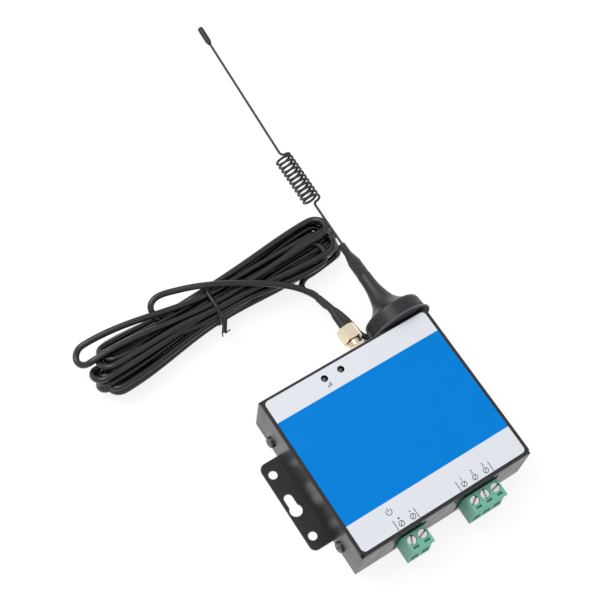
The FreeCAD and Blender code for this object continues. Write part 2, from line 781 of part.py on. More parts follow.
def header_pins(x, poles):
    """Square pins, bent down through the board."""
    pins = []
    half = PIN_WIDTH / 2
    tip_y = PLUG_SHOULDER + TONGUE_LENGTH - SOCKET_LENGTH + FIT
    tail_y = pin_tail_y()
    for pole_x in pole_places(x, poles):
        high_z = PIN_Z + half
        level = box(pole_x - half, pole_x + half, tip_y, tail_y + half, PIN_Z - half, high_z)
        low_z = BOARD_BOTTOM - PIN_TAIL
        tail = box(pole_x - half, pole_x + half, tail_y - half, tail_y + half, low_z, high_z)
        pins.append(fused([level, tail]))
    return pins


def cage_low():
    """The underside of a clamp cage at rest, with the cage down and open."""
    return STRIP_BOTTOM - ENTRY_HEIGHT - CAGE_WALL - FIT


def cage_high():
    """The top of a clamp cage at rest."""
    return STRIP_BOTTOM + STRIP_THICKNESS + CAGE_WALL + CAGE_ROOF


def screw_seat():
    """The underside of a clamp screw's head."""
    return PLUG_TOP - CLAMP_SCREW_SINK - CLAMP_SCREW_HEAD_HEIGHT


def pole_cuts(x):
    """The hollows of one pole: screw well, cage space, wire entry, strip space and key slot."""
    half = CAGE_WIDTH / 2 + CAGE_CLEARANCE
    front = SCREW_AXIS_Y - CAGE_DEPTH / 2 - CAGE_CLEARANCE
    back = SCREW_AXIS_Y + CAGE_DEPTH / 2 + CAGE_CLEARANCE
    seat = screw_seat()
    low = cage_low() - FIT
    cuts = [box(x - half, x + half, front, back, low, seat - FIT)]
    well = CLAMP_SCREW_HEAD_RADIUS + CAGE_CLEARANCE
    cuts.append(upright(well, x, SCREW_AXIS_Y, seat - 2 * FIT, PLUG_TOP + 1))
    entry = ENTRY_WIDTH / 2
    entry_low = STRIP_BOTTOM - ENTRY_HEIGHT
    cuts.append(box(x - entry, x + entry, PLUG_FRONT - 1, SCREW_AXIS_Y, entry_low, STRIP_BOTTOM))
    strip = STRIP_WIDTH / 2 + FIT
    strip_top = STRIP_BOTTOM + STRIP_THICKNESS + FIT
    strip_front = strip_front_y() - FIT
    cuts.append(box(x - strip, x + strip, strip_front, back + 1, STRIP_BOTTOM - FIT, strip_top))
    socket = SOCKET_WIDTH / 2 + FIT
    end = PLUG_SHOULDER + TONGUE_LENGTH + 1
    socket_low = STRIP_BOTTOM + STRIP_THICKNESS - SOCKET_HEIGHT - FIT
    cuts.append(box(x - socket, x + socket, back - FIT, end, socket_low, strip_top))
    length, width, depth = KEY_SLOT
    slot_y = KEY_SLOT_Y - width / 2
    cuts.append(box(x - length / 2, x + length / 2, slot_y, slot_y + width, PLUG_TOP - depth, PLUG_TOP + 1))
    return cuts


def strip_front_y():
    """The front end of a contact strip, bedded in the wall over the wire entry."""
    return SCREW_AXIS_Y - CAGE_DEPTH / 2 - CAGE_CLEARANCE - STRIP_THICKNESS


def plug_housing(x, poles):
    """The plug's moulded body: a waisted front, a shoulder and a tongue for the header."""
    half = poles * PITCH / 2
    shoulder = PLUG_SHOULDER
    tongue_end = shoulder + TONGUE_LENGTH
    tongue_top = TONGUE_BOTTOM + TONGUE_HEIGHT
    outline = [
        (PLUG_FRONT, PLUG_TOP, 0.5),
        (PLUG_FRONT + PLUG_WAIST, PLUG_TOP - PLUG_LIP_HEIGHT, 2.0),
        (PLUG_FRONT + PLUG_FOOT, PLUG_BOTTOM + PLUG_FOOT_HEIGHT, 1.0),
        (PLUG_FRONT + PLUG_FOOT, PLUG_BOTTOM, 0.3),
        (shoulder, PLUG_BOTTOM, 0), (shoulder, TONGUE_BOTTOM, 0),
        (tongue_end, TONGUE_BOTTOM, 0.3), (tongue_end, tongue_top, 0.3),
        (shoulder, tongue_top, 0), (shoulder, PLUG_TOP, 0.3),
    ]
    body = side_profile(outline, x - half, 2 * half)
    cuts = []
    for pole_x in pole_places(x, poles):
        cuts.extend(pole_cuts(pole_x))
    return body.cut(cuts)


def contact_strip(x):
    """A pole's strip: a bar over the wire and a square socket for the header's pin."""
    half = STRIP_WIDTH / 2
    top = STRIP_BOTTOM + STRIP_THICKNESS
    end = PLUG_SHOULDER + TONGUE_LENGTH - FIT
    start = end - SOCKET_LENGTH
    bar = box(x - half, x + half, strip_front_y(), start + 1, STRIP_BOTTOM, top)
    wide = SOCKET_WIDTH / 2
    socket = box(x - wide, x + wide, start, end, top - SOCKET_HEIGHT, top)
    bore = PIN_WIDTH / 2 + THREAD_CLEARANCE
    hole = box(x - bore, x + bore, start - 1, end + 1, PIN_Z - bore, PIN_Z + bore)
    return fused([bar, socket.cut(hole)])


def clamp_screw(x, angle):
    """A pole's slotted screw, its slot at the given angle."""
    seat = screw_seat()
    top = seat + CLAMP_SCREW_HEAD_HEIGHT
    head = upright(CLAMP_SCREW_HEAD_RADIUS, x, SCREW_AXIS_Y, seat, top)
    tip_z = STRIP_BOTTOM + STRIP_THICKNESS + THREAD_CLEARANCE
    shank = upright(SCREW_THREAD_RADIUS, x, SCREW_AXIS_Y, tip_z, seat + FIT)
    reach = CLAMP_SCREW_HEAD_RADIUS + 1
    corner = Vector(-reach, -CLAMP_SLOT_WIDTH / 2, -CLAMP_SLOT_DEPTH)
    slot = Part.makeBox(2 * reach, CLAMP_SLOT_WIDTH, 2 * CLAMP_SLOT_DEPTH, corner)
    slot.rotate(Vector(0, 0, 0), Vector(0, 0, 1), angle)
    slot.translate(Vector(x, SCREW_AXIS_Y, top))
    return head.fuse(shank).cut(slot)


def clamp_cage(x):
    """A pole's cage: the screw turns in its roof and lifts it, so its floor grips the wire."""
    half = CAGE_WIDTH / 2
    front = SCREW_AXIS_Y - CAGE_DEPTH / 2
    back = front + CAGE_DEPTH
    low = cage_low()
    high = cage_high()
    cage = box(x - half, x + half, front, back, low, high)
    inner = half - CAGE_WALL
    window = box(x - inner, x + inner, front - 1, back + 1, low + CAGE_WALL, high - CAGE_ROOF)
    thread = upright(SCREW_THREAD_RADIUS + THREAD_CLEARANCE, x, SCREW_AXIS_Y, low + CAGE_WALL, high + 1)
    return cage.cut([window, thread])


def sma_jack():
    """The jack: a block on the board and a threaded barrel through the rear wall."""
    width, depth, height = SMA_BLOCK
    inner = REAR - SHEET
    block = box(SMA_X - width / 2, SMA_X + width / 2, inner - depth, inner, BOARD_TOP, BOARD_TOP + height)
    barrel = along_y(SMA_BARREL_RADIUS, SMA_X, SMA_Z, inner - 1, inner + SMA_BARREL_LENGTH)
    mouth = inner + SMA_BARREL_LENGTH
    bore = along_y(SMA_BORE_RADIUS, SMA_X, SMA_Z, mouth - SMA_BORE_DEPTH, mouth + 1)
    contact = CENTRE_PIN_RADIUS + SMA_CLEARANCE
    centre = along_y(contact, SMA_X, SMA_Z, mouth - 2 * SMA_BORE_DEPTH, mouth)
    return block.fuse(barrel).cut([bore, centre])


def sma_washer():
    """The lock washer on the rear wall."""
    washer = along_y(WASHER_RADIUS, SMA_X, SMA_Z, REAR, REAR + WASHER_THICKNESS)
    hole = along_y(SMA_BARREL_RADIUS + SMA_CLEARANCE, SMA_X, SMA_Z, REAR - 1, REAR + 2)
    return washer.cut(hole)


def chamfered_nut(low_y, high_y, both_ends):
    """A hexagonal nut with turned corners."""
    nut = hexagon(NUT_ACROSS, SMA_X, SMA_Z, low_y, high_y)
    flat = NUT_ACROSS / 2
    corner = NUT_ACROSS / math.sqrt(3) + FIT
    drop = (corner - flat) / 2
    low_radius = flat if both_ends else corner
    low_drop = drop if both_ends else 0.0
    points = [
        (0, low_y), (low_radius, low_y), (corner, low_y + low_drop), (corner, high_y - drop),
        (flat, high_y), (0, high_y), (0, low_y),
    ]
    points = [point for index, point in enumerate(points) if index == 0 or point != points[index - 1]]
    return nut.common(turned(lines(points), SMA_X, SMA_Z))


def sma_lock_nut():
    """The nut that holds the jack in the wall."""
    low_y = REAR + WASHER_THICKNESS
    high_y = low_y + LOCK_NUT_THICKNESS
    nut = chamfered_nut(low_y, high_y, False)
    thread = SMA_BARREL_RADIUS + SMA_CLEARANCE
    return nut.cut(along_y(thread, SMA_X, SMA_Z, low_y - 1, high_y + 1))


def coupling_nut():
    """The plug's nut: a thread over the barrel and a collar behind the plug's shoulder."""
    low_y = REAR + COUPLING_START
    high_y = low_y + COUPLING_LENGTH
    nut = chamfered_nut(low_y, high_y, True)
    thread = along_y(SMA_BARREL_RADIUS + SMA_CLEARANCE, SMA_X, SMA_Z, low_y - 1, high_y - COUPLING_WALL)
    collar = along_y(FERRULE_RADIUS + SMA_CLEARANCE, SMA_X, SMA_Z, low_y, high_y + 1)
    return nut.cut([thread, collar])


def sma_plug_body():
    """The plug inside the nut: centre pin, contact ring, shoulder and ferrule."""
    mouth = REAR - SHEET + SMA_BARREL_LENGTH
    collar_y = REAR + COUPLING_START + COUPLING_LENGTH - COUPLING_WALL
    shoulder_end = collar_y - SMA_CLEARANCE
    pin = along_y(CENTRE_PIN_RADIUS, SMA_X, SMA_Z, mouth - 2 * SMA_BORE_DEPTH + FIT, mouth)
    ring_y = mouth - SMA_BORE_DEPTH + FIT
    ring = along_y(SMA_BORE_RADIUS - SMA_CLEARANCE, SMA_X, SMA_Z, ring_y, mouth + FIT)
    shoulder = along_y(PLUG_BODY_RADIUS, SMA_X, SMA_Z, mouth + FIT, shoulder_end)
    ferrule_end = REAR + COUPLING_START + COUPLING_LENGTH + FERRULE_LENGTH
    ferrule = along_y(FERRULE_RADIUS, SMA_X, SMA_Z, shoulder_end, ferrule_end)
    return fused([pin, ring, shoulder, ferrule])


def plug_strain_sleeve():
    """The shrunk sleeve: straight over the ferrule, tapered, then bent with the cable."""
    start = REAR + COUPLING_START + COUPLING_LENGTH + CABLE_MIN_GAP / 2
    taper_start = start + SLEEVE_STRAIGHT
    taper_end = taper_start + SLEEVE_TAPER
    edges = lines([(0, start), (SLEEVE_RADIUS, start), (SLEEVE_RADIUS, taper_start),
                   (SLEEVE_END_RADIUS, taper_end), (0, taper_end), (0, start)])
    front = turned(edges, SMA_X, SMA_Z)
    bent, radii = cord_edges([Vector(SMA_X, taper_end, SMA_Z), SLEEVE_BEND, SLEEVE_END])
    sleeve = front.fuse(tube(bent, SLEEVE_END_RADIUS)).removeSplitter()
    ferrule_end = REAR + COUPLING_START + COUPLING_LENGTH + FERRULE_LENGTH
    bore = FERRULE_RADIUS + THREAD_CLEARANCE
    return sleeve.cut(along_y(bore, SMA_X, SMA_Z, start - 1, ferrule_end + FIT))


def hank_spot(turn):
    """A point of the hank and its direction, at a number of loops that is a multiple of 1/8."""
    ring = abs(turn % (2 * HANK_RINGS) - HANK_RINGS)
    layer = int(turn / HANK_RINGS)
    place = round(turn % 1 * 8)
    if place in (0, 4):
        core, step, tilt = 0, 0, (RIGHT_TILT + LEFT_TILT) / 2
        lengthening, skew = 0, 0
    elif place < 4:
        core, step, tilt = RIGHT_CORE, RIGHT_STEP, RIGHT_TILT
        lengthening, skew = RIGHT_LENGTHENING, RIGHT_SKEW
    else:
        core, step, tilt = LEFT_CORE, LEFT_STEP, LEFT_TILT
        lengthening, skew = LEFT_LENGTHENING, LEFT_SKEW
    lobe = core + ring * step
    waist = WAIST_CORE + ring * WAIST_STEP
    reach = HANK_REACH - (HANK_RINGS - ring) * END_STEP
    shoulder = reach - lobe * (1 + ring * lengthening)
    stray = STRAY_SHIFT if STRAY_TURN + 0.6 < turn < STRAY_TURN + 0.8 else 0.0
    (along, across), (heading_along, heading_across) = (
        ((0, -waist), (1, 0)), ((shoulder, -lobe), (1, 0)), ((reach, skew * lobe), (0, 1)),
        ((shoulder, lobe), (-1, 0)), ((0, waist), (-1, 0)),
        ((-shoulder, lobe + stray), (-1, 0)), ((-reach - stray, stray + skew * lobe), (0, -1)),
        ((-shoulder, -lobe), (1, 0)),
    )[place]
    turning = FreeCAD.Rotation(Vector(0, 0, 1), tilt + LAYER_SWING[layer])
    point = turning.multVec(Vector(along, across, 0)) + HANK_CENTRE + Vector(0, 0, layer * HANK_LAYER)
    return point, turning.multVec(Vector(heading_along, heading_across, 0))


def hank_end():
    """The last point of the hank's loops, and the end of the straight piece after it."""
    point, heading = hank_spot(HANK_LAST)
    return point, point + heading * 2 * CABLE_RADIUS, heading


def cable_hank():
    """The hank: one tube of flat loops in four layers, drawn in at the waist."""
    start = LEAD_IN - Vector(0, 2 * CABLE_RADIUS, 0)
    edges = [Part.LineSegment(start, LEAD_IN).toShape()]
    turn = HANK_FIRST
    point, heading = hank_spot(turn)
    along = FreeCAD.Rotation(Vector(0, 0, 1), RIGHT_TILT).multVec(Vector(1, 0, 0))
    edges += biarc(LEAD_IN, Vector(0, 1, 0), LEAD_TURN, along)
    edges += biarc(LEAD_TURN, along, point, heading)
    while turn < HANK_LAST:
        turn += 0.125
        following, following_heading = hank_spot(turn)
        edges += biarc(point, heading, following, following_heading)
        point, heading = following, following_heading
    edges.append(Part.LineSegment(*hank_end()[:2]).toShape())
    length = sum(edge.Length for edge in edges)
    gap = least_gap(edges, CABLE_RADIUS, 1.0)
    tightest = min(edge.Curve.Radius for edge in edges if edge.Curve.TypeId == "Part::GeomCircle")
    print("hank tightest radius", round(tightest, 2))
    solid = tube(edges, CABLE_RADIUS)
    share = solid.Volume / (math.pi * CABLE_RADIUS ** 2 * length)
    print("hank length", round(length, 1), "least gap", round(gap, 3), "volume share", round(share, 4))
    return solid


def cable_to_plug():
    """The lead from the plug's sleeve, over the hank and round a small bight to its end."""
    point, end, heading = hank_end()
    second = SLEEVE_END + unit(SLEEVE_END - SLEEVE_BEND) * FIRST_RUN
    route = [SLEEVE_END, second] + PLUG_LEAD + [end + heading * LAST_RUN, end]
    return cord("plug lead", route, CABLE_RADIUS)


def cable_to_antenna():
    """The lead from the antenna's boot along the floor to the hank's first loop."""
    end = LEAD_IN - Vector(0, 2 * CABLE_RADIUS, 0)
    start = BOOT_END + unit(BOOT_END - BOOT_START) * FIT
    route = [start] + ANTENNA_LEAD + [end - Vector(0, LEAD_RUN, 0), end]
    return cord("antenna lead", route, CABLE_RADIUS)


def hank_tie():
    """The tie: a flat band round the hank's waist, with its two ends twisted off in front."""
    room = CABLE_RADIUS + TIE_CLEARANCE
    low = TIE_THICKNESS
    high = HANK_CENTRE.z + 3 * HANK_LAYER + room
    front = HANK_CENTRE.y - WAIST_CORE - HANK_RINGS * WAIST_STEP - room
    rear = HANK_CENTRE.y + WAIST_CORE + (HANK_RINGS - 0.5) * WAIST_STEP + room
    low_x = TIE_X - TIE_WIDTH / 2
    corners = [
        (front + 6.0, low, TIE_BEND), (rear - 3.0, low, TIE_BEND), (rear, low + 3.6, TIE_BEND),
        (rear, high - 4.0, TIE_BEND), (rear - 3.2, high, TIE_BEND), (front + 6.6, high, TIE_BEND),
        (front, high - 3.4, TIE_BEND), (front, low + 5.0, TIE_BEND),
    ]
    points = [(Vector(low_x, y, z), radius) for y, z, radius in corners]
    inside = rounded_face(points)
    outside = Part.Face(inside.OuterWire.makeOffset2D(TIE_THICKNESS))
    pieces = [outside.cut(inside).extrude(Vector(TIE_WIDTH, 0, 0))]
    knot = Vector(TIE_X, front, high - 4.2)
    for bend in TIE_ENDS:
        edges, radii = cord_edges([knot] + [knot + step for step in bend])
        pieces.append(tube(edges, TIE_THICKNESS))
    return fused(pieces)


def antenna_revolve(points):
    """A solid turned about the antenna's axis, from points given as radius and y."""
    return turned(lines(points + [points[0]]), ANTENNA_X, ANTENNA_Z)


def antenna_y(offset):
    """A Y measured from the antenna's contact face."""
    return REAR + WALL_GAP + offset


def antenna_base_pad():
    """The thin pad between the magnet and the wall."""
    return along_y(PAD_RADIUS, ANTENNA_X, ANTENNA_Z, antenna_y(0), antenna_y(PAD_THICKNESS))


def antenna_skirt():
    """The rubber skirt round the magnet."""
    low_y = antenna_y(PAD_THICKNESS)
    high_y = low_y + SKIRT_THICKNESS
    bevel = SKIRT_THICKNESS * 0.5
    skirt = antenna_revolve([
        (0, low_y), (SKIRT_RADIUS, low_y), (SKIRT_RADIUS, high_y - bevel),
        (SKIRT_RADIUS - bevel, high_y), (0, high_y),
    ])
    return skirt.cut(along_y(MAGNET_RADIUS + FIT, ANTENNA_X, ANTENNA_Z, low_y - 1, high_y + 1))


def antenna_magnet():
    """The disc magnet in the base."""
    low_y = antenna_y(PAD_THICKNESS)
    return along_y(MAGNET_RADIUS, ANTENNA_X, ANTENNA_Z, low_y, low_y + MAGNET_THICKNESS)


def antenna_bell():
    """The bell: a rim that drops into a concave cone, hollow for the magnet and the socket."""
    foot = antenna_y(PAD_THICKNESS + SKIRT_THICKNESS)
    rim_top = foot + RIM_HEIGHT
    top = foot + BELL_LENGTH
    hollow_top = antenna_y(PAD_THICKNESS + MAGNET_THICKNESS + FIT)
    hollow = MAGNET_RADIUS + FIT
    bore = SOCKET_RADIUS + THREAD_CLEARANCE
    rim_corner = Vector(RIM_RADIUS - RIM_DRAFT, rim_top, 0)
    rim_bend = Vector(RIM_RADIUS - 0.7, rim_top + 0.75, 0)
    shoulder = Vector(RIM_RADIUS - 1.7, rim_top + 1.1, 0)
    flare = Vector(BELL_FLARE_RADIUS, foot + BELL_FLARE_AT, 0)
    neck = Vector(BELL_NECK_RADIUS, foot + BELL_NECK_AT, 0)
    taper = Vector(BELL_TAPER_RADIUS, foot + BELL_TAPER_AT, 0)
    tip = Vector(BELL_TOP_RADIUS, top, 0)
    edges = lines([(bore, hollow_top), (hollow, hollow_top), (hollow, foot), (RIM_RADIUS, foot)])
    edges.append(Part.LineSegment(Vector(RIM_RADIUS, foot, 0), rim_corner).toShape())
    edges.append(Part.Arc(rim_corner, rim_bend, shoulder).toShape())
    edges.append(Part.Arc(shoulder, flare, neck).toShape())
    edges.append(Part.Arc(neck, taper, tip).toShape())
    edges += lines([(BELL_TOP_RADIUS, top), (bore, top), (bore, hollow_top)])
    bell = turned(edges, ANTENNA_X, ANTENNA_Z)
    return bell.cut(rod(BOOT_RADIUS + THREAD_CLEARANCE, BOOT_START, BOOT_END))


def antenna_lead_boot():
    """The boot where the lead enters the rim."""
    return rod(BOOT_RADIUS, BOOT_START, BOOT_END)


def antenna_whip_socket():
    """The metal socket in the bell's top that holds the whip."""
    end = antenna_y(SOCKET_END)
    socket = along_y(SOCKET_RADIUS, ANTENNA_X, ANTENNA_Z, antenna_y(SOCKET_START), end)
    foot = whip_place(antenna_y(WHIP_START) - FIT)
    return socket.cut(rod(WHIP_RADIUS + THREAD_CLEARANCE, foot, whip_place(end + 1)))


def antenna_neck_sleeve():
    """The shrunk sleeve over the socket and the foot of the whip."""
    bore = SOCKET_RADIUS + THREAD_CLEARANCE
    start = antenna_y(NECK_START)
    end = antenna_y(NECK_END)
    sleeve = antenna_revolve([
        (0, start), (NECK_RADIUS, start), (NECK_RADIUS, antenna_y(NECK_WIDE_END)),
        (NECK_TIP_RADIUS, antenna_y(NECK_TAPER_END)), (NECK_TIP_RADIUS, end), (0, end),
    ])
    socket_end = antenna_y(SOCKET_END) + FIT
    sleeve = sleeve.cut(along_y(bore, ANTENNA_X, ANTENNA_Z, start - 1, socket_end))
    foot = whip_place(antenna_y(WHIP_START))
    return sleeve.cut(rod(WHIP_RADIUS + THREAD_CLEARANCE, foot, whip_place(end + 1)))


def whip_place(y):
    """The point of the leaning lower whip at a given Y."""
    lean = math.tan(math.radians(WHIP_LEAN))
    return Vector(ANTENNA_X + (y - antenna_y(WHIP_START)) * lean, y, ANTENNA_Z)


def upper_whip_place(y):
    """The point of the upper whip, which leans a little more, at a given Y."""
    foot = whip_place(coil_end_y() + COIL_LEAD)
    lean = math.tan(math.radians(UPPER_LEAN))
    return foot + Vector((y - foot.y) * lean, y - foot.y, 0)


def coil_end_y():
    """The Y where the loading coil ends."""
    return antenna_y(COIL_START) + COIL_TURNS * COIL_PITCH * math.cos(math.radians(WHIP_LEAN))


def coil_spot(half_turns):
    """A point of the loading coil and its direction, after a number of half turns."""
    axis = unit(whip_place(antenna_y(COIL_START)) - whip_place(antenna_y(WHIP_START)))
    side = axis.cross(Vector(0, 0, 1))
    up = Vector(0, 0, 1)
    angle = math.pi * half_turns
    radial = side * math.cos(angle) + up * math.sin(angle)
    turning = up * math.cos(angle) - side * math.sin(angle)
    rise = COIL_PITCH / (2 * math.pi)
    point = whip_place(antenna_y(COIL_START)) + axis * (COIL_PITCH * half_turns / 2) + radial * COIL_RADIUS
    return point, unit(turning * COIL_RADIUS + axis * rise)


def antenna_whip():
    """The whip: a straight foot, the loading coil and the long upper wire, all one wire."""
    foot = whip_place(antenna_y(WHIP_START))
    coil_foot = whip_place(antenna_y(COIL_START) - COIL_LEAD)
    axis = unit(coil_foot - foot)
    edges = [Part.LineSegment(foot, coil_foot).toShape()]
    point, heading = coil_spot(0)
    edges += biarc(coil_foot, axis, point, heading)
    for half_turns in range(1, 2 * COIL_TURNS + 1):
        following, following_heading = coil_spot(half_turns)
        edges += biarc(point, heading, following, following_heading)
        point, heading = following, following_heading
    top_foot = upper_whip_place(coil_end_y() + COIL_LEAD)
    tip = upper_whip_place(antenna_y(CAP_START) + WHIP_END_IN_CAP)
    edges += biarc(point, heading, top_foot, unit(tip - top_foot))
    edges.append(Part.LineSegment(top_foot, tip).toShape())
    length = sum(edge.Length for edge in edges)
    solid = tube(edges, WHIP_RADIUS)
    share = solid.Volume / (math.pi * WHIP_RADIUS ** 2 * length)
    gap = least_gap(edges[1:-1], WHIP_RADIUS, 0.5)
    print("whip wire", round(length, 1), "least gap", round(gap, 3), "volume share", round(share, 4))
    return solid


def antenna_tip_cap():
    """The moulded cap: a tapered foot and a rounded end."""
    start = upper_whip_place(antenna_y(CAP_START))
    heading = unit(upper_whip_place(antenna_y(CAP_START) + 1) - start)
    foot = Part.makeCone(WHIP_RADIUS + 0.3, CAP_RADIUS, CAP_TAPER, start, heading)
    bevel = CAP_RADIUS * 0.4
    shoulder = start + heading * (CAP_LENGTH - bevel)
    body = rod(CAP_RADIUS, start + heading * CAP_TAPER, shoulder)
    crown = Part.makeCone(CAP_RADIUS, CAP_RADIUS - bevel, bevel, shoulder, heading)
    cap = fused([foot, body, crown])
    bottom = upper_whip_place(antenna_y(CAP_START) + WHIP_END_IN_CAP + FIT)
    return cap.cut(rod(WHIP_RADIUS + THREAD_CLEARANCE, start - heading, bottom))


def write(name, shape):
    """Writes a node, given as one solid or a list of separate solids."""
    solids = shape if isinstance(shape, list) else [shape]
    whole = solids[0] if len(solids) == 1 else Part.makeCompound(solids)
    if not whole.isValid():
        print(name, "is not valid")
    whole.exportStep("parts/" + name + ".step")


def write_terminal(name, x, poles, slot_angles):
    """Writes one terminal: header, pins, plug, contacts, screws and clamp cages."""
    write(name + "_header", header(x, poles))
    write(name + "_header_pins", header_pins(x, poles))
    write(name + "_plug_housing", plug_housing(x, poles))
    places = pole_places(x, poles)
    write(name + "_plug_contacts", [contact_strip(pole_x) for pole_x in places])
    for number, (pole_x, angle) in enumerate(zip(places, slot_angles), 1):
        write(name + "_screw_" + str(number), clamp_screw(pole_x, angle))
        write(name + "_clamp_" + str(number), clamp_cage(pole_x))


def main():
    """Builds every node."""
    os.makedirs("parts", exist_ok=True)
    write("base_tray", base_tray())
    write("top_cover", top_cover())
    write("label_sheet", label_sheet())
    write("side_screws", side_screws())
    write("circuit_board", circuit_board())
    write("board_standoffs", board_standoffs())
    write("board_screws", board_screws())
    write("radio_module", radio_module())
    write("sim_socket", sim_socket())
    write("sim_card", sim_card())
    write("relay_case", relay_case())
    write("buffer_capacitor", buffer_capacitor())
    write("signal_led", led(SIGNAL_LED_X))
    write("relay_led", led(RELAY_LED_X))
    write("led_spacers", led_spacers())
    write_terminal("power", POWER_X, POWER_POLES, (62, 20))
    write_terminal("relay", RELAY_X, RELAY_POLES, (35, 78, 12))
    write("sma_jack", sma_jack())
    write("sma_washer", sma_washer())
    write("sma_lock_nut", sma_lock_nut())
    write("coupling_nut", coupling_nut())
    write("sma_plug_body", sma_plug_body())
    write("plug_strain_sleeve", plug_strain_sleeve())
    write("cable_to_plug", cable_to_plug())
    write("cable_hank", cable_hank())
    write("cable_to_antenna", cable_to_antenna())
    write("hank_tie", hank_tie())
    write("antenna_base_pad", antenna_base_pad())
    write("antenna_skirt", antenna_skirt())
    write("antenna_magnet", antenna_magnet())
    write("antenna_bell", antenna_bell())
    write("antenna_lead_boot", antenna_lead_boot())
    write("antenna_whip_socket", antenna_whip_socket())
    write("antenna_neck_sleeve", antenna_neck_sleeve())
    write("antenna_whip", antenna_whip())
    write("antenna_tip_cap", antenna_tip_cap())


main()
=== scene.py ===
# %% [markdown]
# # A phone-network relay module with its magnetic antenna
# The real object is a flat box of folded steel, painted black, with a printed film on its lid,
# two pluggable screw terminals in front and a gold plated antenna jack at the back. A magnetic
# antenna clings to its rear wall, and the antenna's lead lies behind it in a tied hank.
# The shapes of the hard parts come from a finished CAD model. This notebook gives every one of
# them its surface, and makes what is soft or fine: the lead, its tie, the thread and the print.
# %% Load the CAD model
import json
import math
import bmesh
import bpy
import numpy as np
from mathutils import Euler, Matrix, Vector
from mathutils.geometry import convex_hull_2d


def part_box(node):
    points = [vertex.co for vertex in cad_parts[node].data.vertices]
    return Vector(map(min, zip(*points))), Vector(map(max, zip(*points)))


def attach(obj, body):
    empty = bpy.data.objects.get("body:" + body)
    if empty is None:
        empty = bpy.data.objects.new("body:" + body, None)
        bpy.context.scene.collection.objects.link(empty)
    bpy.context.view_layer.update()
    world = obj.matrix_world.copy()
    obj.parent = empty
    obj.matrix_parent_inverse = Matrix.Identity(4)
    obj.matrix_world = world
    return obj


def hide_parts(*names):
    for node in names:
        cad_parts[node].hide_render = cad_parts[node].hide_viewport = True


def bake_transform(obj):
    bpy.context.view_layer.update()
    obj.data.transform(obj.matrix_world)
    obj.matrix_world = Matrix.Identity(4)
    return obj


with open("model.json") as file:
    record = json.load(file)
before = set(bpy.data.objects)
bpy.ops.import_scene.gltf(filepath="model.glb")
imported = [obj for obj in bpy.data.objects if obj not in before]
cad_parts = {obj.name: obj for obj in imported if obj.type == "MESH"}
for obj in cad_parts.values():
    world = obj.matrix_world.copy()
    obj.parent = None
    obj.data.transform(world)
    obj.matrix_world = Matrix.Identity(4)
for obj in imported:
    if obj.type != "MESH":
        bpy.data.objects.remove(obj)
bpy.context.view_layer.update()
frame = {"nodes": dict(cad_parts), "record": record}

nodes = frame["nodes"]
print("CAD nodes:", len(nodes))

# %% [markdown]
# ## Camera
# The camera comes first, because every later choice is judged through it. Its place and lens
# were worked out from the corners, holes and terminals of the case in the photograph, so the
# model falls on the same pixels as the object does. The lens is long, so edges stay nearly
# parallel.
# %% Camera
scene = bpy.context.scene
SENSOR_WIDTH = 36.0
FOCAL_PIXELS = 1323.8
IMAGE_PIXELS = 600
CAMERA_PLACE = (-0.15851, -0.11033, 0.51630)
CAMERA_ANGLES = (25.324, -4.139, -32.894)


def placed(name, data):
    """An object of this name and data, linked to the scene."""
    thing = bpy.data.objects.new(name, data)
    scene.collection.objects.link(thing)
    return thing


camera_data = bpy.data.cameras.new("photo_camera")
camera_data.sensor_width = SENSOR_WIDTH
camera_data.lens = FOCAL_PIXELS / IMAGE_PIXELS * SENSOR_WIDTH
camera = placed("photo_camera", camera_data)
camera.location = CAMERA_PLACE
camera.rotation_euler = Euler([math.radians(angle) for angle in CAMERA_ANGLES])
scene.camera = camera
scene.view_settings.view_transform = "Standard"
print("lens:", round(camera_data.lens, 2), "mm")

# %% [markdown]
# ## One helper for every node tree
# Materials, the world and Geometry Nodes are all trees of nodes. One small function adds a node,
# sets it up and joins it, which keeps each finish to a few readable lines. Colours are written
# as the hex values that a screen shows, and one function turns them to the linear values that
# light is added up in.
# %% Node helper and colours
def add(tree, kind, inputs=(), **settings):
    """Adds a node. An input takes a value, or another node's output to join to it."""
    node = tree.nodes.new(kind)
    for name, value in settings.items():
        setattr(node, name, value)
    for name, value in dict(inputs).items():
        if isinstance(value, bpy.types.NodeSocket):
            tree.links.new(value, node.inputs[name])
        else:
            node.inputs[name].default_value = value
    return node


def linear(code):
    """A hex colour as the linear red, green, blue and alpha of a shader."""
    channels = [int(code[i:i + 2], 16) / 255 for i in (1, 3, 5)]
    return tuple(c / 12.92 if c <= 0.04045 else ((c + 0.055) / 1.055) ** 2.4 for c in channels) + (1.0,)


def node_tree(owner):
    """The empty node tree of a material or the world."""
    owner.use_nodes = True
    owner.node_tree.nodes.clear()
    return owner.node_tree


# %% [markdown]
# ## Floor, world and lamp
# A product photographer would put the object on white acrylic inside a light tent. The floor here
# is white to the camera and to reflections, yet keeps a soft shadow: part of its brightness is
# its own and part is lit. The world lights from all sides like the tent, and one large lamp high
# at the back left gives the screws and ridges a direction, where no flat top mirrors it.
# %% Floor
FLOOR_SIZE = 3.0
FLOOR_GLOW = 0.82
FLOOR_LIT = "#8A8A8A"
FLOOR_BOUNCE = "#E8E8E8"


def seen_share(tree):
    """An output of 1 for what the camera, mirrors and glass show, and 0 for the light on things."""
    path = add(tree, "ShaderNodeLightPath")
    seen = add(tree, "ShaderNodeMath",
               {0: path.outputs["Is Camera Ray"], 1: path.outputs["Is Glossy Ray"]}, operation="ADD")
    seen = add(tree, "ShaderNodeMath", {0: seen.outputs[0], 1: path.outputs["Is Transmission Ray"]},
               operation="ADD", use_clamp=True)
    return seen.outputs[0]


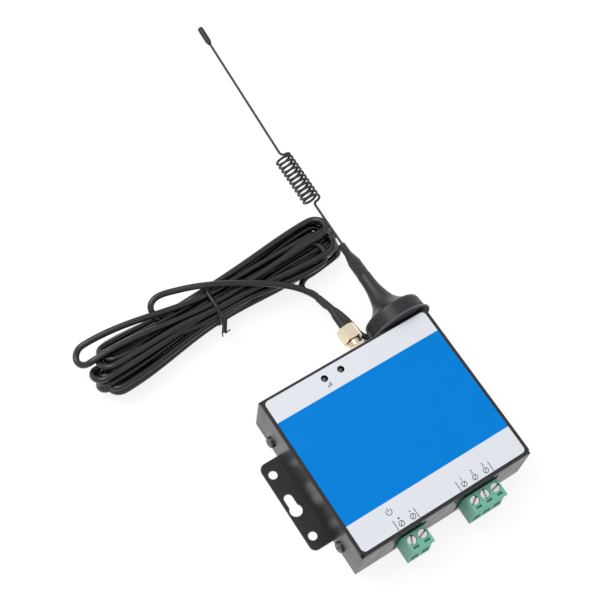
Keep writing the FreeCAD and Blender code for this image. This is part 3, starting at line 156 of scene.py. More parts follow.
half = FLOOR_SIZE / 2
floor_mesh = bpy.data.meshes.new("floor")
floor_mesh.from_pydata([(-half, -half, 0), (half, -half, 0), (half, half, 0), (-half, half, 0)],
                       [], [(0, 1, 2, 3)])
floor = placed("floor", floor_mesh)

acrylic = bpy.data.materials.new("white_acrylic_floor")
tree = node_tree(acrylic)
lit = add(tree, "ShaderNodeBsdfDiffuse", {"Color": linear(FLOOR_LIT)})
glow = add(tree, "ShaderNodeEmission", {"Strength": FLOOR_GLOW})
shown = add(tree, "ShaderNodeAddShader", {0: lit.outputs[0], 1: glow.outputs[0]})
plain = add(tree, "ShaderNodeBsdfDiffuse", {"Color": linear(FLOOR_BOUNCE)})
mixed = add(tree, "ShaderNodeMixShader",
            {0: seen_share(tree), 1: plain.outputs[0], 2: shown.outputs[0]})
add(tree, "ShaderNodeOutputMaterial", {"Surface": mixed.outputs[0]})
floor_mesh.materials.append(acrylic)
print("floor:", FLOOR_SIZE, "m square")

# %% World and lamp
WORLD_LEVEL = 0.84
LAMP_PLACE = Vector((-0.45, 0.60, 1.05))
LAMP_SIZE = 0.7
LAMP_WATTS = 6.5
world = bpy.data.worlds.new("light_tent")
scene.world = world
tree = node_tree(world)
level = add(tree, "ShaderNodeMapRange", {0: seen_share(tree), 3: WORLD_LEVEL, 4: 1.0})
background = add(tree, "ShaderNodeBackground", {"Strength": level.outputs[0]})
add(tree, "ShaderNodeOutputWorld", {"Surface": background.outputs[0]})

lamp_data = bpy.data.lights.new("soft_lamp", "AREA")
lamp_data.energy = LAMP_WATTS
lamp_data.size = LAMP_SIZE
lamp = placed("soft_lamp", lamp_data)
lamp.location = LAMP_PLACE
lamp.rotation_euler = (-LAMP_PLACE).to_track_quat("-Z", "Y").to_euler()
print("lamp:", LAMP_WATTS, "W at", [round(v, 2) for v in LAMP_PLACE])

# %% [markdown]
# ## The lead and its hank
# The lead is a thin coaxial cable, 2.8 mm across and close on three metres long. It leaves the plug
# through a sleeve, runs across the top of the hank, turns back at its left end and goes round in
# long loops that a tie draws in at the middle. A curve of one NURBS spline is the natural tool:
# its points are where a hand would guide the cable, and the spline keeps every bend smooth.
# %% Lead, in millimetres
MM = 0.001
CABLE_RADIUS = 1.4
SLEEVE_END = Vector((8.8, 67.1, 13.1))
SLEEVE_HEADING = Vector((-2.2, 6.6, 0.6)).normalized()
FIRST_RUN = 3.6
# Points laid one by one, from the plug over the hank and back to its first loop.
PLUG_LEAD = [Vector(point) for point in (
    (2.4, 76.0, 15.1), (-4.6, 81.5, 15.8), (-11.8, 86.0, 16.1), (-20.0, 90.7, 16.5),
    (-28.0, 94.6, 16.6), (-35.0, 97.9, 15.8), (-42.0, 100.5, 14.8), (-47.2, 102.0, 14.4),
    (-50.8, 102.0, 13.9), (-53.4, 100.6, 13.0), (-54.2, 98.3, 11.7), (-53.2, 96.0, 10.6),
    (-50.6, 94.9, 9.9), (-46.6, 95.0, 9.8),
)]
# From the last loop out to where the antenna's short lead begins.
LEAD_OUT = [Vector(point) for point in (
    (17.5, 82.2, 2.3), (13.0, 82.2, 2.3), (9.4, 80.2, 2.3), (9.0, 76.8, 2.3), (11.6, 74.6, 2.3),
    (12.4, 72.0, 2.3),
)]
print("lead:", len(PLUG_LEAD), "points from the plug and", len(LEAD_OUT), "out of the hank")

# %% [markdown]
# Nobody lays a hank in even rings. Each loop is pulled to its own length, its ends lie beside or
# on the ones before, and one loop at the left slipped out. So the loops are read from two short
# tables, one entry for each end, and a formula rounds them. At the waist the strands lie partly
# in the order of their ends, so that most of them run side by side, and partly at random. Then
# they are settled: wherever two strands would share a place they are pushed apart, a little at a
# time, until they only touch.
# %% Loops of the hank, in millimetres
HANK_CENTRE = Vector((-26.8, 91.3, 0.0))
HANK_TILT = math.radians(1.9)
LOWEST, HIGHEST = 2.3, 14.6
TURN_RISE = 0.99
ORDERLINESS = 0.6
GOLDEN_STEP, REAR_START = 0.618, 0.3
WAIST_MIDDLE, WAIST_GAP, WAIST_HALF = -1.8, 0.8, 7.1
STRAIGHT_STEPS = 6
ARC_STEPS = 3
# Each end: how far out its tip is, how far aside its middle is, and half its width. A
# loop narrower than the cable can bend stands up on its side by as much as it needs.
RIGHT_ENDS = [
    (58.6, -5.3, 4.4), (52.5, -2.0, 4.4), (60.5, 2.7, 5.5), (57.4, -4.0, 4.4), (55.0, -1.6, 7.6),
    (59.6, -0.6, 4.4), (56.2, 0.8, 5.5), (58.5, 2.4, 5.5), (50.5, -7.4, 4.9), (57.5, 3.5, 4.4),
    (55.5, -4.3, 5.5), (56.6, 3.2, 4.4),
]
LEFT_ENDS = [
    (56.5, -8.3, 3.9), (60.5, -7.6, 3.9), (53.0, 5.3, 3.9), (59.0, -9.2, 4.3), (60.6, -7.0, 4.2),
    (58.0, -9.0, 4.2), (59.4, -2.5, 4.0), (55.0, 1.6, 4.2), (62.3, -4.0, 4.2), (57.0, -1.6, 4.2),
    (63.9, 6.3, 5.0),
]
STRAY_DIP = 6.0
LEAST_BEND = 4.8
print("loop ends:", len(RIGHT_ENDS), "on the right and", len(LEFT_ENDS), "on the left")


# %% One end of a loop
def eased(share):
    """Runs smoothly from 0 to 1, and stays there outside that."""
    share = min(1.0, max(0.0, share))
    return share * share * (3 - 2 * share)


def waist_place(number, side):
    """How far aside a strand passes the waist: rear strands are positive, front ones negative."""
    asides = [RIGHT_ENDS[turn][1] + LEFT_ENDS[min(max(turn - (side < 0), 0), len(LEFT_ENDS) - 1)][1]
              for turn in range(len(RIGHT_ENDS))]
    order = sorted(range(len(asides)), key=lambda turn: side * asides[turn])
    in_order = order.index(number) / (len(asides) - 1)
    at_random = (number * GOLDEN_STEP + (REAR_START if side > 0 else 0.0)) % 1
    spread = ORDERLINESS * in_order + (1 - ORDERLINESS) * at_random
    return WAIST_MIDDLE + side * (WAIST_GAP + spread * (WAIST_HALF - WAIST_GAP))


def loop_end(number, side):
    """The points of one end of a turn, from the waist out to the tip and back, in the hank's frame."""
    reach, aside, half_width = (RIGHT_ENDS if side > 0 else LEFT_ENDS)[number]
    stray = side < 0 and number == len(LEFT_ENDS) - 1
    lean = math.sqrt(max(0.0, LEAST_BEND ** 2 - half_width ** 2))
    steps = STRAIGHT_STEPS + ARC_STEPS
    spots = []
    for place in range(2 * steps):
        outward = min(place, 2 * steps - place)
        hand = -side if place < steps else side
        waist = waist_place(number + (side < 0 and place >= steps), hand)
        along = reach - half_width
        across = aside + hand * half_width
        if outward <= STRAIGHT_STEPS:
            share = outward / STRAIGHT_STEPS
            stood_up = eased(share)
            along *= share
            across = waist + (across - waist) * eased(share)
        else:
            angle = math.pi / 2 * (outward - STRAIGHT_STEPS) / ARC_STEPS
            along += half_width * math.sin(angle)
            stood_up = math.cos(angle)
            across = aside + hand * half_width * stood_up
        # A left end comes half a turn after the right end of the same number.
        turns = number + (0.5 if side < 0 else 0.0) + place / (4 * steps)
        height = LOWEST + TURN_RISE * turns
        if stray:
            height -= STRAY_DIP * eased((outward - STRAIGHT_STEPS / 2) / STRAIGHT_STEPS)
        if lean:
            level = min(max(height, LOWEST + lean), HIGHEST - lean)
            height += (level - height) * eased(outward / STRAIGHT_STEPS) - hand * lean * stood_up
        spots.append(Vector((along * side, across, height)))
    return spots


def to_hank(point):
    """A point of the world in the hank's own frame."""
    return Matrix.Rotation(-HANK_TILT, 3, "Z") @ (point - HANK_CENTRE)


def from_hank(point):
    """A point of the hank's own frame in the world."""
    return HANK_CENTRE + Matrix.Rotation(HANK_TILT, 3, "Z") @ Vector(point)


# %% Settling the strands
# The cable is sampled at even steps. Where two samples are nearer than touching, and aren't
# neighbours along the cable, they push each other away. The moves are smoothed, so that they
# leave no kink, and the strands in the tie stay within its width and under its top.
SAMPLE_STEP = 3.4
TOUCHING = 2.85
SUNK = 2.4
PUSH = 0.8
HOLD_BACK = 0.3
NEIGHBOURS = 9.5
SETTLE_ROUNDS = 190
SMOOTHING = 0.12
TIED_PLACE, TIED_LENGTH, TIED_TOP = -3.0, 5.0, 12.9
NOT_ZERO = 1e-6


def settle(points, free):
    """Pushes strands apart until they touch. Points outside the slice free stay where they are."""
    laid = np.array(points)
    spots = laid.copy()
    lengths = np.concatenate([[0], np.cumsum(np.linalg.norm(np.diff(spots, axis=0), axis=1))])
    marks = np.arange(0, lengths[-1], SAMPLE_STEP)
    after = np.clip(np.searchsorted(lengths, marks, side="right"), 1, len(spots) - 1)
    share = (marks - lengths[after - 1]) / (lengths[after] - lengths[after - 1])
    weights = np.zeros((len(marks), len(spots)))
    weights[np.arange(len(marks)), after - 1] = 1 - share
    weights[np.arange(len(marks)), after] = share
    apart = np.abs(marks[:, None] - marks[None]) > NEIGHBOURS
    movable = np.zeros((len(spots), 1))
    movable[free] = 1
    for _ in range(SETTLE_ROUNDS):
        samples = weights @ spots
        between = samples[:, None] - samples[None]
        distance = np.linalg.norm(between, axis=2) + NOT_ZERO
        close = apart & (distance < TOUCHING)
        push = (between * (np.where(close, TOUCHING - distance, 0) / distance)[:, :, None]).sum(axis=1)
        push *= PUSH / np.sqrt(np.maximum(close.sum(axis=1), 1))[:, None]
        touched = weights.T @ close.any(axis=1).astype(float)[:, None]
        spots += movable * (weights.T @ push) / (touched + HOLD_BACK)
        moved = spots - laid
        moved[1:-1] += SMOOTHING * ((moved[:-2] + moved[2:]) / 2 - moved[1:-1])
        spots = laid + movable * moved
        spots[free, 2] = np.clip(spots[free, 2], LOWEST, HIGHEST)
        tied = (movable[:, 0] > 0) & (np.abs(spots[:, 0] - TIED_PLACE) < TIED_LENGTH)
        spots[tied, 1] = np.clip(spots[tied, 1], WAIST_MIDDLE - WAIST_HALF, WAIST_MIDDLE + WAIST_HALF)
        spots[tied, 2] = np.minimum(spots[tied, 2], TIED_TOP)
    sunk = int((apart & (distance < SUNK)).sum() / 2)
    print("places where strands sink into each other:", sunk, "of", len(marks))
    return [Vector(spot) for spot in spots]


# %% [markdown]
# A few small tools turn a list of points into a cable. The spline is given its order after its
# points, because Blender lowers the order of a spline that has too few. The line that the spline
# really follows is read back from a mesh with no thickness, which is how its length is measured.
# %% Cable tools
def spline_curve(name, points):
    """A curve of one open NURBS spline through the neighbourhood of its points, in metres."""
    data = bpy.data.curves.new(name, "CURVE")
    data.dimensions = "3D"
    data.resolution_u = 6
    spline = data.splines.new("NURBS")
    spline.points.add(len(points) - 1)
    for place, point in zip(spline.points, points):
        place.co = (*(point * MM), 1)
    spline.order_u = 3
    spline.use_endpoint_u = True
    return placed(name, data)


# %% Mesh and thickness
def as_mesh(owner):
    """A plain mesh of what a curve, text or object shows, with its bevel and modifiers."""
    bpy.context.view_layer.update()
    return bpy.data.meshes.new_from_object(owner.evaluated_get(bpy.context.evaluated_depsgraph_get()))


def centreline(curve):
    """The points that a curve with no bevel follows, in metres."""
    line = as_mesh(curve)
    points = [vertex.co.copy() for vertex in line.vertices]
    bpy.data.meshes.remove(line)
    return points


def thicken(curve):
    """Gives a curve the cable's round section and closes its ends."""
    curve.data.bevel_depth = CABLE_RADIUS * MM
    curve.data.bevel_resolution = 3
    curve.data.use_fill_caps = True


def smooth(mesh):
    """Shades a mesh as round."""
    for polygon in mesh.polygons:
        polygon.use_smooth = True


# %% Measuring a line
def length_of(points):
    """The length of a line through points."""
    return sum((after - before).length for before, after in zip(points, points[1:]))


def sharpest_turn(points, step):
    """The largest angle between chords of one length, in degrees, and its place in millimetres."""
    spots = [points[0]]
    for point in points[1:]:
        if (point - spots[-1]).length >= step:
            spots.append(point)
    turns = [((point - before).angle(after - point), point)
             for before, point, after in zip(spots, spots[1:], spots[2:])]
    angle, place = max(turns, key=lambda turn: turn[0])
    return round(math.degrees(angle)), [round(v / MM, 1) for v in place]


# %% Plug lead and hank
# The loops are worked out from the lowest up, and then turned round, because the plug's lead
# joins the top one.
loops = []
for number in range(len(RIGHT_ENDS)):
    loops += loop_end(number, 1)
    if number < len(LEFT_ENDS):
        loops += loop_end(number, -1)
loops.append(Vector((0, waist_place(len(RIGHT_ENDS) - 1, 1), LOWEST + TURN_RISE * len(LEFT_ENDS))))
loops = loops[STRAIGHT_STEPS:][::-1]
lead_points = [SLEEVE_END, SLEEVE_END + SLEEVE_HEADING * FIRST_RUN] + PLUG_LEAD
route = [to_hank(point) for point in lead_points] + loops + [to_hank(point) for point in LEAD_OUT]
settled = settle(route, slice(len(lead_points), len(lead_points) + len(loops)))
cable = spline_curve("antenna_cable", [from_hank(point) for point in settled])
cable_line = centreline(cable)
thicken(cable)
print("cable:", len(cable.data.splines[0].points), "points,", round(length_of(cable_line), 3), "m long")
print("sharpest turn in two diameters:", sharpest_turn(cable_line, 4 * CABLE_RADIUS * MM))

# %% [markdown]
# The short lead from the hank to the antenna, which bends when the antenna is lifted, is a piece
# of its own, made a mesh.
# %% Lead to the antenna
ANTENNA_LEAD = [Vector(point) for point in (
    (18.63, 43.27, 7.0), (16.7, 45.2, 7.0), (16.7, 50.2, 6.2), (16.4, 56.6, 4.4),
    (15.2, 62.6, 2.9), (12.4, 67.0, 2.3), (12.4, 72.0, 2.3),
)]
guide = spline_curve("antenna_lead_guide", ANTENNA_LEAD)
antenna_line = centreline(guide)
thicken(guide)
tube = as_mesh(guide)
tube.name = "antenna_lead"
bpy.data.objects.remove(guide)
antenna_lead = placed("antenna_lead", tube)
smooth(tube)

# %% [markdown]
# ## The twist tie
# The hank is held by a flat plastic ribbon with a thin wire along its middle, the kind that comes
# on any new cable. It could be a curve with a flat bevel, but a ribbon that is twisted needs its
# own sense of which way is up, so its section is carried along a path in mesh code. The wire
# shows as a low rib, and the two ends wind round each other before they part.
# %% Ribbon
RIBBON = [
    (-0.85, -0.10), (-0.30, -0.10), (-0.17, -0.26), (0.17, -0.26), (0.30, -0.10), (0.85, -0.10),
    (0.85, 0.10), (0.30, 0.10), (0.17, 0.26), (-0.17, 0.26), (-0.30, 0.10), (-0.85, 0.10),
]
tie_work = bmesh.new()


def lay_ribbon(path, facings, closed=False):
    """Carries the ribbon's section along a path, its flat side towards each facing, in metres."""
    rings = []
    count = len(path)
    for index, (point, facing) in enumerate(zip(path, facings)):
        after = path[(index + 1) % count] if closed else path[min(index + 1, count - 1)]
        before = path[index - 1] if closed else path[max(index - 1, 0)]
        heading = (after - before).normalized()
        across = heading.cross(facing).normalized()
        up = across.cross(heading)
        rings.append([tie_work.verts.new(point + (across * u + up * v) * MM) for u, v in RIBBON])
    for index in range(count if closed else count - 1):
        ring, following = rings[index], rings[(index + 1) % count]
        for side in range(len(RIBBON)):
            after = (side + 1) % len(RIBBON)
            tie_work.faces.new((ring[side], ring[after], following[after], following[side]))
    if not closed:
        tie_work.faces.new(rings[0][::-1])
        tie_work.faces.new(rings[-1])


# %% Tie round the waist
# The band goes round all strands that cross its plane, apart from those that run over its top.
TIE_X = -30.2
TIE_GAP = 0.32
TIE_TOP = 15.0
RIM_POINTS = 20
crossings = []
for before, after in zip(cable_line, cable_line[1:]):
    if (before.x - TIE_X * MM) * (after.x - TIE_X * MM) < 0:
        middle = (before + after) / 2 / MM
        if middle.z < TIE_TOP - CABLE_RADIUS:
            crossings.append(middle)
rim = []
reach = CABLE_RADIUS + TIE_GAP
for crossing in crossings:
    for index in range(RIM_POINTS):
        angle = 2 * math.pi * index / RIM_POINTS
        rim.append(Vector((crossing.y + reach * math.cos(angle), crossing.z + reach * math.sin(angle))))
band_path = [Vector((TIE_X, *rim[index])) * MM for index in convex_hull_2d(rim)]
band_centre = sum(band_path, Vector()) / len(band_path)
lay_ribbon(band_path, [band_centre - point for point in band_path], closed=True)
print("strands in the tie:", len(crossings))

# %% Twisted ends
TWIST_HEIGHT, TWIST_REACH = 11.5, 3.0
TWIST_OFFSET = Vector((1.0, -0.9, 1.0))
TWIST_RUN = Vector((-2.6, -4.0, -2.2))
TWIST_TURNS = 2.5
TWIST_RADIUS = 0.9
TWIST_STEPS = 24
END_TIPS = (Vector((2.2, 0.6, 1.0)), Vector((-0.2, -1.0, -0.8)))
END_RUN, END_CURL, END_STEPS = 0.9, 1.5, 4
near_twist = [point for point in band_path if abs(point.z / MM - TWIST_HEIGHT) < TWIST_REACH]
band_front = min(near_twist, key=lambda point: point.y)
twist_start = band_front / MM + TWIST_OFFSET
side = TWIST_RUN.cross(Vector((0, 0, 1))).normalized()
upward = side.cross(TWIST_RUN).normalized()
for strand, tip in enumerate(END_TIPS):
    path, facings = [], []
    for index in range(TWIST_STEPS + 1):
        share = index / TWIST_STEPS
        angle = math.pi * (2 * TWIST_TURNS * share + strand)
        outward = side * math.cos(angle) + upward * math.sin(angle)
        path.append((twist_start + TWIST_RUN * share + outward * TWIST_RADIUS) * MM)
        facings.append(outward)
    last_facing = facings[-1]
    start = path[-1]
    for index in range(END_STEPS):
        share = (index + 1) / END_STEPS
        path.append(start + (TWIST_RUN.normalized() * END_RUN * share + tip * share ** END_CURL) * MM)
        facings.append(last_facing)
    lay_ribbon(path, facings)
bmesh.ops.recalc_face_normals(tie_work, faces=tie_work.faces)
tie_mesh = bpy.data.meshes.new("twist_tie")
tie_work.to_mesh(tie_mesh)
tie_work.free()
smooth(tie_mesh)
twist_tie = placed("twist_tie", tie_mesh)
print("tie:", len(tie_mesh.polygons), "faces")

# %% [markdown]
# ## Finishes
# Each finish starts as one Principled shader with the colour and roughness of the real surface.
# What makes it look made of something is the fine relief on top: the pimples of powder paint, the
# spark-eroded grain of a mould, the lines of a lathe. One function lays such a grain, at a size
# given in millimetres, on the object's own coordinates, so it stays put when a part moves.
# %% A finish and its grain
def finish(name, colour, roughness, **sockets):
    """A material of one Principled shader. A socket is named with underscores for spaces."""
    material = bpy.data.materials.new(name)
    tree = node_tree(material)
    shader = add(tree, "ShaderNodeBsdfPrincipled",
                 {"Base Color": linear(colour), "Roughness": roughness})
    for socket, value in sockets.items():
        shader.inputs[socket.replace("_", " ")].default_value = value
    add(tree, "ShaderNodeOutputMaterial", {"Surface": shader.outputs[0]})
    print("finish:", name, colour)
    return material


def parts_of(material):
    """A material's tree and its shader."""
    tree = material.node_tree
    return tree, next(node for node in tree.nodes if node.type == "BSDF_PRINCIPLED")


def grain(material, size, depth, stretch=(1, 1, 1), detail=2.0):
    """Lays a relief of rounded grains, of a size and depth in millimetres, on the surface."""
    tree, shader = parts_of(material)
    place = add(tree, "ShaderNodeTexCoord")
    scaled = add(tree, "ShaderNodeMapping", {"Vector": place.outputs["Object"], "Scale": stretch})
    noise = add(tree, "ShaderNodeTexNoise",
                {"Vector": scaled.outputs[0], "Scale": 1 / (size * MM), "Detail": detail})
    bump = add(tree, "ShaderNodeBump", {"Height": noise.outputs["Fac"], "Distance": depth * MM})
    tree.links.new(bump.outputs[0], shader.inputs["Normal"])
    return material


# %% Clouds of colour
NOISE_LOW, NOISE_HIGH = 0.3, 0.7      # nearly all values of a noise lie between these


def clouded(material, second, size, low, high):
    """Lays clouds of a second colour, and of roughness from low to high, of a size in millimetres."""
    tree, shader = parts_of(material)
    place = add(tree, "ShaderNodeTexCoord")
    noise = add(tree, "ShaderNodeTexNoise",
                {"Vector": place.outputs["Object"], "Scale": 1 / (size * MM), "Detail": 3.0})
    # Inputs 6 and 7 of a colour mix are its two colours.
    first = tuple(shader.inputs["Base Color"].default_value)
    colour = add(tree, "ShaderNodeMix", {"Factor": noise.outputs["Fac"], 6: first, 7: linear(second)},
                 data_type="RGBA")
    tree.links.new(colour.outputs[2], shader.inputs["Base Color"])
    rough = add(tree, "ShaderNodeMapRange",
                {0: noise.outputs["Fac"], 1: NOISE_LOW, 2: NOISE_HIGH, 3: low, 4: high})
    tree.links.new(rough.outputs[0], shader.inputs["Roughness"])
    return material


# %% Rings
WAVE_BANDS = 20      # a wave texture of scale 1 has this many bands in 2 pi


def wave_scale(spacing):
    """The scale at which the bands of a wave texture stand a spacing in millimetres apart."""
    return 2 * math.pi / (WAVE_BANDS * spacing * MM)


def ringed(material, direction, spacing, depth):
    """Adds fine ridges across a direction, X, Y or Z, at a spacing in millimetres."""
    tree, shader = parts_of(material)
    place = add(tree, "ShaderNodeTexCoord")
    wave = add(tree, "ShaderNodeTexWave",
               {"Vector": place.outputs["Object"], "Scale": wave_scale(spacing), "Distortion": 0.4,
                "Detail": 1.0}, bands_direction=direction)
    below = [link.from_socket for link in tree.links if link.to_socket == shader.inputs["Normal"]]
    bump = add(tree, "ShaderNodeBump", {"Height": wave.outputs["Fac"], "Distance": depth * MM})
    if below:
        tree.links.new(below[0], bump.inputs["Normal"])
    tree.links.new(bump.outputs[0], shader.inputs["Normal"])
    return material


# %% Painted shade in slots
SLOT_OPEN, FACE_OPEN = 0.35, 0.85      # how open a narrow slot and a nearly free face are


def painted_recess_shade(material, shade_colour, depth):
    """Paints shade into slots and corners narrower than a depth in millimetres, as a darker colour."""
    tree, shader = parts_of(material)
    unshaded_colour = next(link.from_socket for link in tree.links
                 if link.to_socket == shader.inputs["Base Color"])
    hollow = add(tree, "ShaderNodeAmbientOcclusion", {"Distance": depth * MM}, samples=8)
    open_share = add(tree, "ShaderNodeMapRange", {0: hollow.outputs["AO"], 1: SLOT_OPEN, 2: FACE_OPEN})
    colour = add(tree, "ShaderNodeMix", {"Factor": open_share.outputs[0], 6: linear(shade_colour), 7: unshaded_colour},
                 data_type="RGBA")
    tree.links.new(colour.outputs[2], shader.inputs["Base Color"])
    return material


# %% A knurl
def knurled(material, pitch, depth):
    """Cuts two crossing sets of grooves, at a pitch in millimetres, as a knurling wheel does."""
    tree, shader = parts_of(material)
    place = add(tree, "ShaderNodeTexCoord")
    normal = None
    for lean in (45, -45):
        turned = add(tree, "ShaderNodeMapping",
                     {"Vector": place.outputs["Object"], "Rotation": (0, 0, math.radians(lean))})
        wave = add(tree, "ShaderNodeTexWave", {"Vector": turned.outputs[0], "Scale": wave_scale(pitch)},
                   bands_direction="X")
        bump = add(tree, "ShaderNodeBump", {"Height": wave.outputs["Fac"], "Distance": depth * MM})
        if normal:
            tree.links.new(normal, bump.inputs["Normal"])
        normal = bump.outputs[0]
    tree.links.new(normal, shader.inputs["Normal"])
    return material


# %% [markdown]
# ### Painted steel
# The case is mild steel sheet under black powder paint. Baked powder flows into a low orange peel
# about half a millimetre across and dries to a satin shine that mirrors the pale tent at a
# glancing angle. The side screws are blackened steel: the oxide is so thin that they still shine
# as metal. The whip is spring steel that was dipped, and its coat is a little uneven.
# %% Painted steel
powder_paint = grain(finish("powder_paint_on_steel", "#19191D", 0.30, Specular_IOR_Level=0.5),
                     0.55, 0.008)
clouded(powder_paint, "#222227", 9.0, 0.26, 0.36)
black_oxide = grain(finish("blackened_screw_steel", "#66666C", 0.36, Metallic=1.0), 0.4, 0.006)
clouded(black_oxide, "#7E7E84", 1.2, 0.30, 0.46)
# Painted shade: the slots and wells of the side screws are darkened in colour.
painted_recess_shade(black_oxide, "#0C0C0E", 0.7)
whip_coat = grain(finish("dip_coated_spring_steel", "#1F1F24", 0.36), 1.2, 0.006)
clouded(whip_coat, "#2A2A30", 4.0, 0.30, 0.45)

# %% [markdown]
# ### Plated metal
# The jack, nut and plug are brass with a thin gold plate over nickel, which is why the gold is so
# pale. They are turned parts, so fine lathe rings run round their axis, drawn a little coarser
# than they are, so that they show. The clamp screws and cages are zinc plated steel, brighter and
# bluer, and the board's fixings are brass and steel. Shade is painted into their slots and
# corners as a darker colour, which makes them easy to see.
# %% Plated metal
gold_plate = grain(finish("gold_plate_on_brass", "#F7EAD2", 0.22, Metallic=1.0), 0.5, 0.003)
clouded(gold_plate, "#EEDCBC", 3.0, 0.16, 0.28)
# Painted shade: the corners of the nuts and the roots of the thread are darkened in colour.
painted_recess_shade(gold_plate, "#6A4E2C", 0.8)
ringed(gold_plate, "Y", 0.22, 0.004)
zinc_plate = grain(finish("bright_zinc_on_steel", "#F0F1F4", 0.30, Metallic=1.0), 0.5, 0.006)
clouded(zinc_plate, "#DEE0E5", 0.9, 0.24, 0.36)
# Painted shade: the slots of the clamp screws and the corners of the cages are darkened in colour.
painted_recess_shade(zinc_plate, "#2A2A2C", 0.9)
tinned_bronze = grain(finish("tinned_bronze", "#BFC0C2", 0.34, Metallic=1.0), 0.2, 0.005)
clouded(tinned_bronze, "#A5A6A8", 1.5, 0.28, 0.42)
turned_brass = grain(finish("turned_brass", "#C9A55E", 0.30, Metallic=1.0), 0.2, 0.004)
ringed(turned_brass, "Z", 0.25, 0.005)
rolled_steel = grain(finish("rolled_plated_steel", "#B9BBBE", 0.32, Metallic=1.0), 0.15, 0.004,
                     stretch=(1, 6, 1))
magnet_plate = grain(finish("nickel_plated_magnet", "#A9A9AA", 0.30, Metallic=1.0), 0.25, 0.005)

# %% [markdown]
# ### Mouldings
# The terminal blocks are polyamide in the usual blue-green, moulded with a fine eroded grain that
# scatters the light. The sockets behind them are the same plastic, drawn in a dark green that is
# painted shade, because they sit in the shadow of the cut-outs. The real grain is finer than can be
# seen from here, so it is drawn coarser. The bell of the antenna was moulded and then turned
# smooth, so it shows rings. The lamps are clear epoxy.
# %% Mouldings
terminal_green = grain(finish("green_polyamide", "#78BFAA", 0.46), 0.3, 0.010)
clouded(terminal_green, "#6EB5A0", 5.0, 0.42, 0.54)
# The sockets' dark green is painted shade: it is the plugs' plastic, darkened for the shadow of the
# cut-outs.
header_green = grain(finish("green_polyamide_painted_shade", "#16513F", 0.40), 0.16, 0.010)
clouded(header_green, "#124636", 4.0, 0.36, 0.48)
black_moulding = grain(finish("black_abs", "#1E1E21", 0.40), 0.2, 0.010)
clouded(black_moulding, "#27272B", 4.0, 0.36, 0.50)
bell_moulding = grain(finish("turned_black_abs", "#232327", 0.36), 0.25, 0.006)
clouded(bell_moulding, "#2C2C31", 5.0, 0.32, 0.46)
ringed(bell_moulding, "Y", 0.45, 0.015)
relay_moulding = grain(finish("black_relay_pbt", "#1A1A1C", 0.45), 0.25, 0.010)
card_stock = grain(finish("white_card_pvc", "#E6E7E8", 0.45), 0.3, 0.004)
board_laminate = grain(finish("green_solder_mask", "#1B5B38", 0.32), 0.8, 0.010)
clouded(board_laminate, "#17492F", 6.0, 0.28, 0.40)
can_sleeve = grain(finish("capacitor_shrink_sleeve", "#1B1B22", 0.30), 0.3, 0.004)
clear_epoxy = grain(finish("clear_epoxy", "#E4E7EA", 0.12, Transmission_Weight=0.85, IOR=1.53),
                    0.6, 0.004)

# %% [markdown]
# ### Rubber, jacket and shrink sleeve
# The cable's jacket is smooth extruded vinyl, so each strand carries a narrow bright line. The
# skirt under the bell is moulded rubber, whose matt skin lightens at a glancing angle, which a
# little sheen gives. Shrink sleeve keeps faint rings where it drew in, and the sleeve on the
# whip's neck has a knurl that fingers can hold.
# %% Rubber and jackets
jacket = grain(finish("vinyl_jacket", "#15151B", 0.24, Specular_IOR_Level=0.55), 0.8, 0.010)
clouded(jacket, "#1E1E26", 6.0, 0.19, 0.29)
shrink_sleeve = grain(finish("polyolefin_shrink_sleeve", "#27272B", 0.55), 0.3, 0.02)
ringed(shrink_sleeve, "Y", 0.9, 0.03)
neck_sleeve = knurled(finish("knurled_neck_sleeve", "#3A3A3F", 0.36), 0.9, 0.3)
skirt_rubber = grain(finish("moulded_rubber", "#36363B", 0.62, Sheen_Weight=0.35, Sheen_Roughness=0.5),
                     0.22, 0.02)
clouded(skirt_rubber, "#45454B", 5.0, 0.56, 0.72)
pad_rubber = grain(finish("rubber_pad", "#2A2A2E", 0.75), 0.3, 0.02)
tie_vinyl = grain(finish("ribbon_vinyl", "#1C1C1F", 0.33), 0.3, 0.006)

# %% [markdown]
# ## The printed film
# A polyester film covers most of the lid: white at both ends, with a broad blue field between
# them. The two colours are one print on one sheet, so they are one material, and where one ends
# is worked out from the film's own Y coordinate. On the pale ends stand plain signs: numbers,
# plus and minus, a power sign, signal bars, short ticks and the marks of screws.
# %% Film
BLUE_FRONT = -23.5
BLUE_REAR = 25.4
FILM_WHITE = "#E6E9F0"
INK_DRIFT = 14.0
film = finish("printed_polyester_film", FILM_WHITE, 0.45, Specular_IOR_Level=0.06)
grain(film, 0.7, 0.004)
tree, shader = parts_of(film)
place = add(tree, "ShaderNodeTexCoord")
axes = add(tree, "ShaderNodeSeparateXYZ", {"Vector": place.outputs["Object"]})
past_front = add(tree, "ShaderNodeMath", {0: axes.outputs["Y"], 1: BLUE_FRONT * MM},
                 operation="GREATER_THAN")
before_rear = add(tree, "ShaderNodeMath", {0: axes.outputs["Y"], 1: BLUE_REAR * MM},
                  operation="LESS_THAN")
in_field = add(tree, "ShaderNodeMath", {0: past_front.outputs[0], 1: before_rear.outputs[0]},
               operation="MULTIPLY")
ink_drift = add(tree, "ShaderNodeTexNoise",
                {"Vector": place.outputs["Object"], "Scale": 1 / (INK_DRIFT * MM), "Detail": 2.0})
blue = add(tree, "ShaderNodeMix",
           {"Factor": ink_drift.outputs["Fac"], 6: linear("#0080DA"), 7: linear("#0385E0")},
           data_type="RGBA")
printed = add(tree, "ShaderNodeMix",
              {"Factor": in_field.outputs[0], 6: linear(FILM_WHITE), 7: blue.outputs[2]},
              data_type="RGBA")
tree.links.new(printed.outputs[2], shader.inputs["Base Color"])
ink = grain(finish("black_ink", "#34343A", 0.45), 0.5, 0.002)
print("blue field:", round(BLUE_REAR - BLUE_FRONT, 1), "mm deep")

